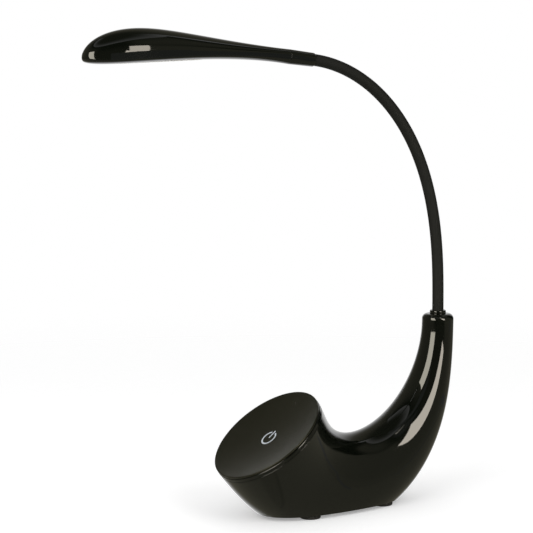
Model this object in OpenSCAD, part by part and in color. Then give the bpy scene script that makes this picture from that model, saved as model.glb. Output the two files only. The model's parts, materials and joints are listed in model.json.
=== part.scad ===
// Gooseneck desk lamp: a horn-shaped base with a round touch panel, a flexible neck and a long LED head.
// The front, with the panel and the head, faces -Y. X = 0 is the plane of symmetry.
// Everything is worked out from the horn's axis (y = 0) and the shell's lower edge (z = 0).
// stand() then sets it on the floor, with the origin under the middle of the lamp.

/* [Base] */
// Diameter of the touch panel and of the base around it
panel_d = 100; // [92:1:106]
// Lean of the touch panel towards the front, in degrees
panel_tilt = 37.5; // [34:0.5:41]
// Distance of the panel's centre in front of the horn's axis
panel_reach = 171.5; // [168:0.5:176]
// Height of the panel's centre above the shell's lower edge
panel_rise = 67; // [65:0.5:70]
// Depth of the dish in the touch panel
dish_depth = 4.5; // [3:0.5:5]
// Height of the horn above the shell's lower edge
horn_h = 154; // [150:1:160]
// Diameter of the horn at its top
horn_d = 27.2; // [26.4:0.2:29]
// Radius of the rounded shoulder at the horn's top
shoulder_r = 4.5; // [4:0.1:4.8]
// Pull on the width of the base at its waist, where 1 keeps the section round
waist = 0.54; // [0.5:0.01:0.7]
// Thickness of the base shell's wall
shell_wall = 2.5; // [2:0.1:2.8]
// Height of the bright ring under the touch panel
ring_h = 3.2; // [2.8:0.1:4]
// Shadow gap between two visible pieces of a casing
seam = 0.25; // [0.2:0.05:0.35]

/* [Underside] */
// Thickness of the bottom cover
cover_t = 3; // [2.5:0.1:3.5]
// Diameter of a rubber foot
foot_d = 17.5; // [15:0.5:18]
// Height of a rubber foot below the shell's lower edge
foot_h = 3.4; // [2.5:0.1:4]
// Height of the ballast block
ballast_h = 21; // [15:1:24]

/* [Neck] */
// Diameter of the neck's rubber sleeve
neck_d = 9.7; // [9.2:0.1:10.2]
// Diameter of the steel core inside the sleeve
core_d = 6.6; // [6:0.1:7]
// Diameter of the core's bore, which the leads run through
core_bore = 3.2; // [2.5:0.1:3.6]
// Length of the neck that shows between its two collars
neck_l = 273; // [255:1:285]
// Lean of the neck's upper end from upright, in degrees
neck_lean = 83.5; // [76:0.5:88]
// How late the neck bends: 1 is an even bow, 2 keeps its lower half straighter
neck_ease = 1.67; // [1.5:0.01:1.9]

/* [Head] */
// Distance from the neck's end to the tip of the head
head_l = 203.5; // [196:0.5:212]
// Length of the collar behind the head
collar_l = 24; // [20:0.5:26]
// Greatest width of the head
head_w = 37; // [33:0.5:42]
// Thickness of the head's wall
head_wall = 1.8; // [1.6:0.1:2]
// Length of the light window
window_l = 82; // [70:1:84]
// Width of the light window
window_w = 21; // [18:0.5:22]
// Distance of the window's middle from the tip of the head
window_inset = 60; // [58:0.5:64]
// Number of LEDs in one of the two rows
led_count = 8; // [5:1:9]

/* [Inlet] */
// Diameter of the recess for the DC plug's body
inlet_d = 10.5; // [9.5:0.1:11]
// Depth of that recess
inlet_depth = 5; // [4:0.5:6]
// Height of the inlet above the shell's lower edge
inlet_z = 33; // [31:0.5:38]

/* [Hidden] */
LINKS = 12;
BASE_NODES = [
    "base_shell", "bottom_cover", "rubber_feet", "cover_screws", "ballast_weight",
    "panel_ring", "touch_panel", "power_mark", "sensor_window", "touch_board", "mark_led",
    "driver_board", "board_posts", "board_parts", "inlet_bezel", "dc_jack", "jack_contacts",
    "inlet_lead", "panel_lead", "neck_lead", "neck_collar", "neck_ferrule", "neck_nut",
];
HEAD_NODES = [
    "head_collar", "core_clip", "head_shell", "head_cover", "diffuser", "reflector",
    "led_board", "leds", "heat_spreader", "head_screws",
];
NECK_NODES = [
    for (kind = ["neck_sleeve_", "neck_core_"], i = [0:LINKS]) str(kind, i)
];

$fn = 64;
play = 0.1;        // between a piece and the bore or pocket that holds it
slack = 0.3;       // between pieces that face each other inside the casing

// ---- Curves ----

// Point at t on the smooth curve that runs from the first to the last of p and is pulled by those between
function pulled(p, t) = len(p) == 1
    ? p[0]
    : pulled([for (i = [0:len(p) - 2]) p[i] * (1 - t) + p[i + 1] * t], t);

// Points along such a curve
function eased(control, steps) = [for (i = [0:steps]) pulled(control, i / steps)];

// Direction of the neck, as [y, z], where it leans by an angle towards the front
function leaning(angle) = [-sin(angle), cos(angle)];

// ---- Base shell: round sections between a top profile and a bottom profile, both [y, z] ----

panel_r = panel_d / 2;
panel_rim = 1.6;                                     // thickness of the panel at its edge
panel_up = [cos(panel_tilt), sin(panel_tilt)];       // up the panel's slope
panel_in = [sin(panel_tilt), -cos(panel_tilt)];      // into the base, square to the panel
panel_mid = [-panel_reach, panel_rise];
mouth_depth = panel_rim + ring_h + 2 * seam;
mouth_mid = panel_mid + panel_in * mouth_depth;
horn_r = horn_d / 2;
horn_end = horn_h - shoulder_r;

top_profile = [
    mouth_mid + panel_up * panel_r,
    mouth_mid + panel_up * panel_r + panel_in * 28,
    [54.5 - panel_reach, 44],
    [-36 - horn_r, 43],
    [-horn_r, horn_h - 62.5],
    [-horn_r, horn_end],
];
low_profile = [
    mouth_mid - panel_up * panel_r,
    mouth_mid - panel_up * panel_r + panel_in * 70,
    [46 - panel_reach, -44.5],
    [horn_r - 31.5, -40.5],
    [horn_r, horn_h - 107.5],
    [horn_r, horn_end],
];
width_profile = [1, waist, waist + 0.24, waist + 0.3, 1];

stations = 40;
arc_steps = 18;
horn_ceiling = 3;                                    // thickness of the horn's top
horn_bore_r = neck_d / 2 + 1.4;

// A section is [middle, half its height as a vector, half its width]
function base_section(t, inset) =
    let (top = pulled(top_profile, t), low = pulled(low_profile, t))
    let (half = (top - low) / 2, r = norm(half))
    [(top + low) / 2, half * (1 - inset / r), r * pulled(width_profile, t) - inset];

// Angle from the top of a section at which it meets the level z, or 180 where it stays above
function reach_angle(section, z) =
    section[0][1] - abs(section[1][1]) > z ? 180 : acos((z - section[0][1]) / section[1][1]);

function section_point(section, angle) = [
    section[2] * sin(angle),
    section[0][0] + section[1][0] * cos(angle),
    section[0][1] + section[1][1] * cos(angle),
];

function half_ring(section, last) = [for (i = [0:arc_steps]) section_point(section, last * i / arc_steps)];

// Half of the outline, as [x, y], where the shell's inside meets the level z
function inside_outline(z, gap) = [
    for (i = [0:stations])
        let (s = base_section(i / stations, shell_wall + gap), last = reach_angle(s, z))
        if (last < 180)
            [s[2] * sin(last), s[0][0] + s[1][0] * cos(last)]
];

function mirrored(half) = concat(half, [for (i = [len(half) - 1:-1:0]) [-half[i][0], half[i][1]]]);

function reversed(list) = [for (i = [len(list) - 1:-1:0]) list[i]];

// Two triangles between point j of band i, of n points, and the next point and band
function patch(i, j, n) =
    let (a = i * n + j, b = i * n + (j + 1) % n)
    [[a, b + n, b], [a, a + n, b + n]];

// Faces that close a band, whose points start at first, between its outer and its inner arc
function band_end(n, first) = [
    for (j = [0:n / 2 - 2])
        let (a = first + j, b = first + n - 1 - j)
            each [[a, b - 1, b], [a, a + 1, b - 1]]
];

function turned(faces, shift) = [for (f = faces) [f[0] + shift, f[2] + shift, f[1] + shift]];

// Skin between bands of points. Each band is an outer arc, and an inner arc that runs back.
module skin(bands) {
    n = len(bands[0]);
    last = len(bands) - 1;
    sides = [for (i = [0:last - 1], j = [0:n - 1]) each patch(i, j, n)];
    polyhedron(
        points = [for (band = bands) each band],
        faces = concat(sides, band_end(n, 0), turned(band_end(n, 0), last * n))
    );
}

// The same with bands for the half at +X of a shell that is closed on top, and below wherever
// both arcs of a band end on the plane X = 0
module mirrored_skin(bands) {
    n = len(bands[0]);
    last = len(bands) - 1;
    low = n / 2 - 1;
    shut = [for (band = bands) band[low][0] == 0 && band[low + 1][0] == 0];
    half = concat(
        [
            for (i = [0:last - 1], j = [0:n - 2])
                if (j != low || !shut[i] || !shut[i + 1]) each patch(i, j, n)
        ],
        band_end(n, 0),
        turned(band_end(n, 0), last * n)
    );
    points = [for (band = bands) each band];
    polyhedron(
        points = concat(points, [for (p = points) [-p[0], p[1], p[2]]]),
        faces = concat(half, turned(half, len(points)))
    );
}

function level_section(r, z) = [[0, z], [-r, 0], r];

function level_band(outer_r, outer_z, inner_r, inner_z) = concat(
    half_ring(level_section(outer_r, outer_z), 180),
    reversed(half_ring(level_section(inner_r, inner_z), 180))
);

// The hollow opens on the level z = 0, a little later than the outside does
function shell_band(t) =
    let (outer = base_section(t, 0), inner = base_section(t, shell_wall), last = reach_angle(outer, 0))
    concat(
        half_ring(outer, last),
        reversed(half_ring(inner, last < 180 ? min(reach_angle(inner, 0), 174) : 180))
    );

// Up the casing, round the horn's shoulder, and down into the bore of its top
horn_hollow_r = horn_r - shell_wall;
shell_bands = concat(
    [for (i = [0:stations - 1]) shell_band(i / stations)],
    [
        for (a = [0:22.5:90])
            level_band(
                horn_r - shoulder_r * (1 - cos(a)), horn_end + shoulder_r * sin(a),
                horn_hollow_r + (horn_bore_r - horn_hollow_r) * a / 120, horn_h - horn_ceiling
            )
    ],
    [level_band(horn_bore_r, horn_h, horn_bore_r, horn_h - horn_ceiling)]
);

// ---- Neck: straight links between the points where it bends ----

neck_foot_h = 5;                                     // height of the neck's first half link over the horn
link_l = neck_l / LINKS;

// The first and the last link are half as long, so that the leans are those of a smooth bow
function link_length(i) = i == 0 || i == LINKS ? link_l / 2 : link_l;
function link_lean(i) = neck_lean * pow(i / LINKS, neck_ease);

// Place of bend i, as [y, z]: 0 is the neck's foot, and LINKS + 1 is its end
function bend_at(i) = i == 0
    ? [0, horn_h + neck_foot_h]
    : bend_at(i - 1) + leaning(link_lean(i - 1)) * link_length(i - 1);

neck_end = bend_at(LINKS + 1);
nose = neck_end + leaning(neck_lean) * head_l;

// ---- Placing ----

lamp_front = nose[0];
lamp_back = horn_r;
lamp_mid = (lamp_front + lamp_back) / 2;

module stand() {
    translate([0, -lamp_mid, foot_h]) children();
}

// Frame at a place on the plane of symmetry, with +Z leaning towards the front
module leaned(place, lean) {
    translate([0, place[0], place[1]]) rotate([lean, 0, 0]) children();
}

// +Z square out of the touch panel from its rim's middle, +Y up its slope
module on_panel() {
    stand() leaned(panel_mid, panel_tilt) children();
}

// +Z along the head towards its nose, +Y up
module on_head() {
    stand() leaned(neck_end, neck_lean) children();
}

// +Z along the light window, +Y up into the head, from the middle of the window's outer face
module on_window() {
    on_head() translate([0, window_mid[0], window_mid[1]]) rotate([window_slope, 0, 0]) children();
}

// ---- Small shapes ----

module tube(r, bore_r, h) {
    rotate_extrude() translate([bore_r, 0]) square([r - bore_r, h]);
}

// Slot with round ends along Z, standing on the XZ plane and h tall
module slot(l, w, h) {
    rotate([-90, 0, 0]) {
        translate([-w / 2, -(l - w) / 2, 0]) cube([w, l - w, h]);
        for (side = [-1, 1]) translate([0, side * (l - w) / 2, 0]) cylinder(r = w / 2, h = h);
    }
}

// Countersunk screw with its head's face at z = 0 and its shank along +Z
module screw(shank_r, head_r, l) {
    head_t = head_r - shank_r;
    difference() {
        union() {
            cylinder(r1 = head_r, r2 = shank_r, h = head_t);
            translate([0, 0, head_t]) cylinder(r = shank_r, h = l - head_t);
        }
        translate([0, 0, -1]) cylinder(r = shank_r * 0.9, h = 1 + head_t * 0.8, $fn = 6);
    }
}

// Hole that takes such a screw: countersink and clearance bore
module screw_hole(shank_r, head_r, l) {
    head_t = head_r - shank_r;
    translate([0, 0, -1]) cylinder(r = head_r + play, h = 1);
    cylinder(r1 = head_r + play, r2 = shank_r + play, h = head_t);
    cylinder(r = shank_r + play, h = l);
}

// ---- Base ----

inlet_r = inlet_d / 2;
inlet_wall = 1.6;
// Place of the horn's back, as [z, y], up from the shell's lower edge
back_profile = [
    for (i = [stations / 2:stations]) let (p = pulled(low_profile, i / stations)) [p[1], p[0]]
];
inlet_face = lookup(inlet_z - inlet_r - inlet_wall, back_profile) - 0.5;

module base_shell() {
    color("#151515") stand() difference() {
        mirrored_skin(shell_bands);
        translate([0, inlet_face - 30, inlet_z]) rotate([-90, 0, 0])
            cylinder(r = inlet_r + inlet_wall + play, h = 60);
    }
}

feet = [[17.5, -139.5], [11.5, -64]];
cover_screw_points = [[17, -117], [14, -88]];
screw_r = 1.5;
screw_head_r = 3;

module each_side(points) {
    for (p = points, side = [-1, 1]) translate([side * p[0], p[1], 0]) children();
}

module bottom_cover() {
    color("#1d1d1d") stand() difference() {
        linear_extrude(cover_t) polygon(mirrored(inside_outline(0, slack)));
        each_side(cover_screw_points) screw_hole(screw_r, screw_head_r, cover_t + 1);
    }
}

foot_edge = 0.8;                                     // bevel round the sole of a foot
module rubber_feet() {
    color("#0f0f0f") stand() each_side(feet) translate([0, 0, -foot_h]) {
        cylinder(r1 = foot_d / 2 - foot_edge, r2 = foot_d / 2, h = foot_edge);
        translate([0, 0, foot_edge]) cylinder(r = foot_d / 2, h = foot_h - foot_edge);
    }
}

screw_l = 12;
module cover_screws() {
    color("silver") stand() each_side(cover_screw_points) screw(screw_r, screw_head_r, screw_l);
}

ballast_front = -158;
ballast_back = -70;
ballast_step = 7;
// Half of the block's outline at the level z
function ballast_outline(z) = [
    for (p = inside_outline(z, 1)) if (p[1] > ballast_front && p[1] < ballast_back) p
];

module ballast_weight() {
    color("#5a5a5c") stand() difference() {
        for (z = [0:ballast_step:ballast_h - 1])
            translate([0, 0, cover_t + z]) linear_extrude(min(ballast_step, ballast_h - z))
                polygon(mirrored(ballast_outline(cover_t + z)));
        each_side(cover_screw_points) translate([0, 0, cover_t - 1])
            cylinder(r = screw_r, h = screw_l - cover_t + 2);
    }
}

// ---- Touch panel, in the panel's own frame ----

panel_t = dish_depth + 1.5;
hub_r = panel_r - 4.5;
ring_top = -panel_rim - seam;
ring_bottom = ring_top - ring_h;
ledge_r = hub_r - 4;
spigot_r = panel_r - shell_wall - 1.3;               // the shell draws in behind its mouth
spigot_h = 2.5;
dish_r = (pow(panel_r - 1, 2) + pow(dish_depth, 2)) / (2 * dish_depth);
mark_r = 6.5;
mark_line = 1.4;
mark_bar = 8.3;
mark_depth = 0.6;
sensor_r = 0.8;
sensor_place = [-5, ledge_r - 3];

module panel_ring() {
    color("#1a1a1a") on_panel() rotate_extrude() polygon([
        [hub_r + slack, ring_top],
        [panel_r - 0.6, ring_top],
        [panel_r, ring_top - 0.6],
        [panel_r, ring_bottom],
        [spigot_r, ring_bottom],
        [spigot_r, ring_bottom - spigot_h],
        [ledge_r, ring_bottom - spigot_h],
        [ledge_r, -panel_t],
        [hub_r + slack, -panel_t],
    ]);
}

// Outline of the power symbol: an open ring and a bar
module mark_outline() {
    difference() {
        circle(r = mark_r + mark_line / 2);
        circle(r = mark_r - mark_line / 2);
        polygon([[0, 0], [-mark_r * 0.75, mark_r * 1.5], [mark_r * 0.75, mark_r * 1.5]]);
    }
    translate([-mark_line / 2, 0]) square([mark_line, mark_bar]);
}

module mark_solid(grow) {
    translate([0, 0, -dish_depth - mark_depth]) linear_extrude(mark_depth + grow) mark_outline();
}

module touch_panel() {
    color("#262624") on_panel() difference() {
        rotate_extrude() polygon([
            [0, -panel_t],
            [hub_r, -panel_t],
            [hub_r, -panel_rim],
            [panel_r - 0.2, -panel_rim],
            [panel_r - 0.2, -0.4],
            [panel_r - 0.6, 0],
            [0, 0],
        ]);
        translate([0, 0, dish_r - dish_depth]) sphere(r = dish_r, $fn = 360);
        mark_solid(2);
        translate([sensor_place[0], sensor_place[1], -panel_t - 1])
            cylinder(r = sensor_r + play / 2, h = panel_t + 2);
    }
}

module power_mark() {
    color("white") on_panel() mark_solid(0);
}

module sensor_window() {
    color("#303030") on_panel() translate([sensor_place[0], sensor_place[1], -panel_t])
        cylinder(r = sensor_r, h = panel_t - dish_depth + 1);
}

board_t = 1.6;
touch_pad_r = 22;                                    // radius of the board's touch pad
touch_tab_w = 16;                                    // width of its tab under the sensor
mark_led_size = [3.5, 2.8, 1];
module touch_board() {
    color("darkgreen") on_panel() translate([0, 0, -panel_t - board_t]) difference() {
        union() {
            cylinder(r = touch_pad_r, h = board_t);
            translate([-touch_tab_w / 2, 0, 0]) cube([touch_tab_w, sensor_place[1] + 1.5, board_t]);
        }
        translate([0, 0, -1]) cylinder(r = mark_led_size[1] / 2 - 0.2, h = board_t + 2);
    }
}

module mark_led() {
    color("ivory") on_panel() translate([
        -mark_led_size[0] / 2, -mark_led_size[1] / 2, -panel_t - board_t - mark_led_size[2]
    ]) cube(mark_led_size);
}

// ---- Driver electronics on the ballast block ----

deck_z = cover_t + ballast_h;
post_h = 5;
board_w = 44;
board_l = 52;
board_mid_y = -116;
board_z = deck_z + post_h;
post_points = [
    [board_w / 2 - 4, board_mid_y - board_l / 2 + 4],
    [board_w / 2 - 4, board_mid_y + board_l / 2 - 4],
];

module board_posts() {
    color("goldenrod") stand() each_side(post_points) translate([0, 0, deck_z]) {
        cylinder(r = 2.5, h = post_h, $fn = 6);
        translate([0, 0, post_h]) cylinder(r = 1.4, h = board_t + 1.5);
    }
}

module driver_board() {
    color("darkgreen") stand() difference() {
        translate([-board_w / 2, board_mid_y - board_l / 2, board_z]) cube([board_w, board_l, board_t]);
        each_side(post_points) translate([0, 0, board_z - 1]) cylinder(r = 1.4 + play, h = board_t + 2);
    }
}

plug_h = 5;                                          // height of a lead's plug on the board
plug_size = [8, 6, plug_h];
inlet_plug = [0, board_mid_y + 20];
neck_plug = [0, board_mid_y + 8];
panel_plug = [8, board_mid_y - 20];
coil = [-8, board_mid_y - 12, 12, 12, 7];            // [x, y, width, length, height]
controller = [-12, board_mid_y + 7, 8, 6, 1.5];
input_capacitor = [8, board_mid_y - 4, 4, 12];       // [x, y, radius, height]
output_capacitor = [12, board_mid_y + 10, 3.2, 9];

module block_at(place, size) {
    translate([place[0] - size[0] / 2, place[1] - size[1] / 2, 0]) cube(size);
}

module board_parts() {
    color("#3a3a3a") stand() translate([0, 0, board_z + board_t]) {
        for (b = [coil, controller]) block_at(b, [b[2], b[3], b[4]]);
        for (c = [input_capacitor, output_capacitor]) translate([c[0], c[1], 0]) cylinder(r = c[2], h = c[3]);
        for (place = [inlet_plug, neck_plug, panel_plug]) block_at(place, plug_size);
    }
}

// ---- DC inlet in the back of the horn ----

jack_l = 14;
jack_r = inlet_r - 0.4;
socket_r = 2.8;
tab_l = 5;                                           // length of the jack's solder tab
module inlet_bezel() {
    color("#141414") stand() translate([0, inlet_face, inlet_z]) rotate([90, 0, 0]) {
        tube(inlet_r + inlet_wall, inlet_r, inlet_depth);
        translate([0, 0, inlet_depth]) tube(inlet_r + inlet_wall, jack_r + play, 4);
    }
}

module dc_jack() {
    color("#202020") stand() translate([0, inlet_face - inlet_depth, inlet_z]) rotate([90, 0, 0])
        tube(jack_r, socket_r, jack_l);
}

module jack_contacts() {
    color("silver") stand() translate([0, inlet_face - inlet_depth - 1, inlet_z]) rotate([90, 0, 0]) {
        cylinder(r = 1, h = jack_l - 3);
        translate([0, 0, jack_l - 3]) cylinder(r = socket_r - play, h = 2);
        translate([-1, -0.2, jack_l - 1]) cube([2, 0.4, tab_l]);
    }
}

// ---- Neck mounting in the horn ----

neck_r = neck_d / 2;
core_r = core_d / 2;
sleeve_bore_r = core_r + play;
ferrule_l = 20;
ferrule_r = horn_bore_r - 0.2;
neck_tail = 18;                                      // length of the sleeve below the horn's top
core_tail = 26;
collar_ring_r = horn_bore_r + 0.7;
collar_ring_h = 3;
collar_ring_edge = 0.9;                              // bevel round the collar's top

module neck_collar() {
    color("#181818") stand() translate([0, 0, horn_h]) rotate_extrude() polygon([
        [neck_r + play, 0],
        [collar_ring_r, 0],
        [collar_ring_r, collar_ring_h - collar_ring_edge],
        [collar_ring_r - collar_ring_edge, collar_ring_h],
        [neck_r + play, collar_ring_h],
    ]);
}

module neck_ferrule() {
    color("silver") stand() translate([0, 0, horn_h - ferrule_l]) difference() {
        cylinder(r = ferrule_r, h = ferrule_l);
        translate([0, 0, -1]) cylinder(r = core_r + play, h = ferrule_l);
        translate([0, 0, ferrule_l - neck_tail]) cylinder(r = neck_r + play, h = ferrule_l);
    }
}

nut_t = 5;
module neck_nut() {
    color("silver") stand() translate([0, 0, horn_h - horn_ceiling - nut_t]) difference() {
        cylinder(r = horn_r - shell_wall - 1.2, h = nut_t, $fn = 6);
        translate([0, 0, -1]) cylinder(r = ferrule_r + play / 2, h = nut_t + 2);
    }
}

// ---- Neck links: each ends in a ball at its upper bend, and in a hollow round the ball below it ----

ball_r = neck_r * 1.15;
ball_gap = 0.15;
ball_top = 4.2;                                      // height of the ball above the bend

// Neck link i, with a straight foot below the first one and a straight tip after the last one.
// The bore widens by flare in the ball, where the lead bends.
module link(i, r, bore_r, flare, foot, tip) {
    l = link_length(i);
    stand() leaned(bend_at(i), link_lean(i)) rotate_extrude() difference() {
        union() {
            if (i == 0) translate([bore_r, -foot]) square([r - bore_r, foot + 1]);
            translate([bore_r, 0]) square([r - bore_r, i < LINKS ? l : l + tip]);
            if (i < LINKS) translate([0, l]) intersection() {
                circle(r = ball_r, $fn = 96);
                polygon([[r, -1], [r, ball_top], [bore_r + flare, ball_top], [bore_r, 0], [bore_r, -1]]);
            }
        }
        if (i > 0) circle(r = ball_r + ball_gap, $fn = 96);
    }
}

sleeve_tip = 14;                                     // length of the sleeve inside the head's collar
module neck_sleeve(i) {
    color("#1c1c1c") link(i, neck_r, sleeve_bore_r, 0, neck_foot_h + neck_tail, sleeve_tip);
}

module neck_core(i) {
    color("silver") link(
        i, core_r, core_bore / 2, 1.1, neck_foot_h + core_tail, collar_l + spigot_l + clip_t + 1
    );
}

// ---- Head: sections across its length, from the collar to the nose ----

collar_r = 6;
spigot_l = 9;
nose_up = -20.9;
head_top = [
    [collar_l, collar_r],
    [collar_l + 40.8, 5.1],
    [head_l - 53.5, 7.9],
    [head_l - 61, 14.8],
    [head_l + 0.5, 5.9],
    [head_l, nose_up],
];
head_low = [
    [collar_l, -collar_r],
    [collar_l + 65.4, -3.3],
    [head_l - 24, -24.4],
    [head_l, -29.2],
    [head_l, nose_up],
];
head_side = [
    [collar_l, collar_r],
    [collar_l + 45, collar_r + 1],
    [head_l - 90, head_w / 2 + 2],
    [head_l - 22, head_w / 2 + 7],
    [head_l, head_w / 2 - 3],
    [head_l, 0],
];

top_line = eased(head_top, 60);
low_line = eased(head_low, 60);
side_line = eased(head_side, 60);

// The window lies a little inside the head's lower line, on the chord between its own two ends
window_sink = 0.2;
window_f = head_l - window_inset;
window_back_up = lookup(window_f - window_l / 2, low_line) + window_sink;
window_front_up = lookup(window_f + window_l / 2, low_line) + window_sink;
window_slope = atan((window_back_up - window_front_up) / window_l);
window_mid = [(window_back_up + window_front_up) / 2, window_f];

tray_h = 3.5;
tray_start_h = collar_r;

// Height of the tray under the seam between the head's two halves
function tray_at(f, height) =
    let (early = max(0, 1 - (f - collar_l) / 56))
    min(height / 2, tray_h + (tray_start_h - tray_h) * early * early);

// Section at distance f from the neck's end: [half width, seam, height above it, height below it]
function head_section(f) =
    let (top = lookup(f, top_line), low = lookup(f, low_line), tray = tray_at(f, top - low))
    [lookup(f, side_line), low + tray, top - low - tray, tray];

// Arc over (way = 1) or under (way = -1) the seam, where squareness 2 is an ellipse
function head_arc(f, way, size, wall, squareness) =
    let (s = head_section(f), wide = (s[0] - wall) * size, high = ((way > 0 ? s[2] : s[3]) - wall) * size)
    [
        for (i = [0:arc_steps])
            let (a = 180 * i / arc_steps, across = cos(a), along = max(sin(a), 0))
            [
                way * wide * sign(across) * pow(abs(across), 2 / squareness),
                s[1] + way * high * pow(along, 2 / squareness),
                f,
            ]
    ];

head_stations = 38;
nose_wall = 3 * head_wall;                           // thickness of the solid tip, along the head
tip_cut = 0.03;

// The station's place runs close together towards the round nose
function station_f(i) = collar_l + (head_l - tip_cut - collar_l) * sin(90 * i / head_stations);

// Inside the tip the hollow's arcs draw together on the flat wall that ends the hollow
function head_bands(way, squareness) =
    let (hollow_end = head_l - nose_wall)
    [
        for (i = [0:head_stations])
            let (f = station_f(i), size = max(0.02, min(1, (head_l - f) / nose_wall)))
            concat(
                head_arc(f, way, 1, 0, squareness),
                reversed(head_arc(min(f, hollow_end), way, size, head_wall, squareness))
            )
    ];

module head_shell() {
    color("#141414") on_head() translate([0, seam / 2, 0]) skin(head_bands(1, 2));
}

module head_cover() {
    color("#141414") difference() {
        on_head() translate([0, -seam / 2, 0]) skin(head_bands(-1, 2.4));
        on_window() translate([0, -4, 0]) slot(window_l, window_w, 8);
    }
}

flange_y = 2.8;
flange_t = 1;
lip = 1.5;
module diffuser() {
    color("#f2f0ea") on_window() {
        slot(window_l - 2 * play, window_w - 2 * play, flange_y);
        translate([0, flange_y, 0]) slot(window_l + 2 * lip, window_w + 2 * lip, flange_t);
    }
}

reflector_y = flange_y + flange_t;
reflector_h = 4;
module reflector() {
    color("white") on_window() translate([0, reflector_y, 0]) difference() {
        slot(window_l, window_w, reflector_h);
        translate([0, -1, 0]) slot(window_l - 2, window_w - 2, reflector_h + 2);
    }
}

led_board_y = reflector_y + reflector_h;
led_board_w = window_w - 5;
led_board_l = window_l - 4;
led_screw_r = 1;
led_screw_inset = 4;                                 // from the ends of the LED board
led_screw_head = [2, 1.2];                           // radius and height

// Places of the two screws through the LED board, at a height into the head, with +Z into the head
module each_led_screw(y) {
    for (side = [-1, 1]) translate([0, y, side * (led_board_l / 2 - led_screw_inset)])
        rotate([-90, 0, 0]) children();
}

// Plate as wide and long as the LED board, drilled for its screws
module led_plate(y, t, hole_r) {
    difference() {
        translate([-led_board_w / 2, y, -led_board_l / 2]) cube([led_board_w, t, led_board_l]);
        each_led_screw(y - 1) cylinder(r = hole_r, h = t + 2);
    }
}

module led_board() {
    color("ivory") on_window() led_plate(led_board_y, board_t, led_screw_r + play);
}

led_size = [3, 0.8, 3];
led_row = 4;                                         // from the board's middle line
led_pitch = (led_board_l - 14) / (led_count - 1);

// From a corner of an LED to the middle of its mounted face
led_mid = [led_size[0] / 2, led_size[1], led_size[2] / 2];

module leds() {
    color("#ffe9a0") on_window() for (i = [0:led_count - 1], side = [-1, 1]) {
        along = (i - (led_count - 1) / 2) * led_pitch;
        translate([side * led_row, led_board_y, along] - led_mid) cube(led_size);
    }
}

spreader_y = led_board_y + board_t;
spreader_t = 1.2;
module heat_spreader() {
    color("silver") on_window() led_plate(spreader_y, spreader_t, led_screw_r);
}

// Where the lead is soldered to the LED board, as [up, along the head]
solder_point = [
    window_mid[0] + led_board_l / 2 * sin(window_slope) + (spreader_y - 1) * cos(window_slope),
    window_mid[1] - led_board_l / 2 * cos(window_slope) + (spreader_y - board_t) * sin(window_slope) - 2,
];
head_lead_end = neck_end + leaning(neck_lean - 90) * solder_point[0] + leaning(neck_lean) * solder_point[1];

module head_screws() {
    color("silver") on_window() each_led_screw(led_board_y - led_screw_head[1]) {
        cylinder(r = led_screw_head[0], h = led_screw_head[1]);
        cylinder(r = led_screw_r, h = led_screw_head[1] + board_t + spreader_t);
    }
}

module head_collar() {
    color("#171717") on_head() rotate_extrude() polygon([
        [neck_r + play, 0],
        [neck_r + 0.5, 0],
        [neck_r + 0.8, 0.5],
        [collar_r, collar_l - seam],
        [collar_r - head_wall - play, collar_l - seam],
        [collar_r - head_wall - play, collar_l + spigot_l],
        [core_r + play, collar_l + spigot_l],
        [core_r + play, sleeve_tip],
        [neck_r + play, sleeve_tip],
    ]);
}

clip_t = 1;
module core_clip() {
    color("silver") on_head() translate([0, 0, collar_l + spigot_l])
        tube(core_r + 0.8, core_r + play / 2, clip_t);
}

// ---- Leads: round wires that lie in an upright plane ----

lead_r = 1.1;

// Wire of radius r through points [y, z] in the plane x
module lead(points, x, r) {
    n = 8;
    count = len(points);
    rings = [
        for (i = [0:count - 1])
            let (way = points[min(i + 1, count - 1)] - points[max(i - 1, 0)])
            let (side = [-way[1], way[0]] / norm(way))
            each [
                for (j = [0:n - 1])
                    [x + r * cos(360 * j / n), points[i][0] + side[0] * r * sin(360 * j / n),
                     points[i][1] + side[1] * r * sin(360 * j / n)]
            ]
    ];
    sides = [
        for (i = [0:count - 2], j = [0:n - 1])
            let (a = i * n + j, b = i * n + (j + 1) % n)
            each [[a, b, b + n], [a, b + n, a + n]]
    ];
    start = [for (j = [1:n - 2]) [0, j + 1, j]];
    end = [for (j = [1:n - 2]) [(count - 1) * n, (count - 1) * n + j, (count - 1) * n + j + 1]];
    polyhedron(points = rings, faces = concat(sides, start, end));
}

plug_top = board_z + board_t + plug_h + slack;
jack_tail_y = inlet_face - inlet_depth - jack_l - tab_l - play;
module inlet_lead() {
    color("black") stand() lead(eased([
        [jack_tail_y, inlet_z],
        [jack_tail_y - 25, inlet_z],
        [inlet_plug[1] + 10, plug_top + 1],
        [inlet_plug[1], plug_top + 6],
        [inlet_plug[1], plug_top],
    ], 16), 0, lead_r);
}

module panel_lead() {
    color("black") stand() lead(eased([
        panel_mid + panel_in * (panel_t + board_t + slack),
        panel_mid + panel_in * 30,
        [panel_plug[1], plug_top + 14],
        [panel_plug[1], plug_top],
    ], 12), panel_plug[0], lead_r);
}

neck_lead_r = 0.9;
module neck_lead() {
    color("black") stand() lead(concat(
        eased([
            [neck_plug[1], plug_top],
            [neck_plug[1], plug_top + 18],
            [-46, 38],
            [0, 66],
            [0, horn_h - 42],
        ], 18),
        [for (i = [0:LINKS + 1]) bend_at(i)],
        [neck_end + leaning(neck_lean) * (collar_l + spigot_l + 4)],
        [head_lead_end]
    ), 0, neck_lead_r);
}

// ---- Assembly ----

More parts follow.
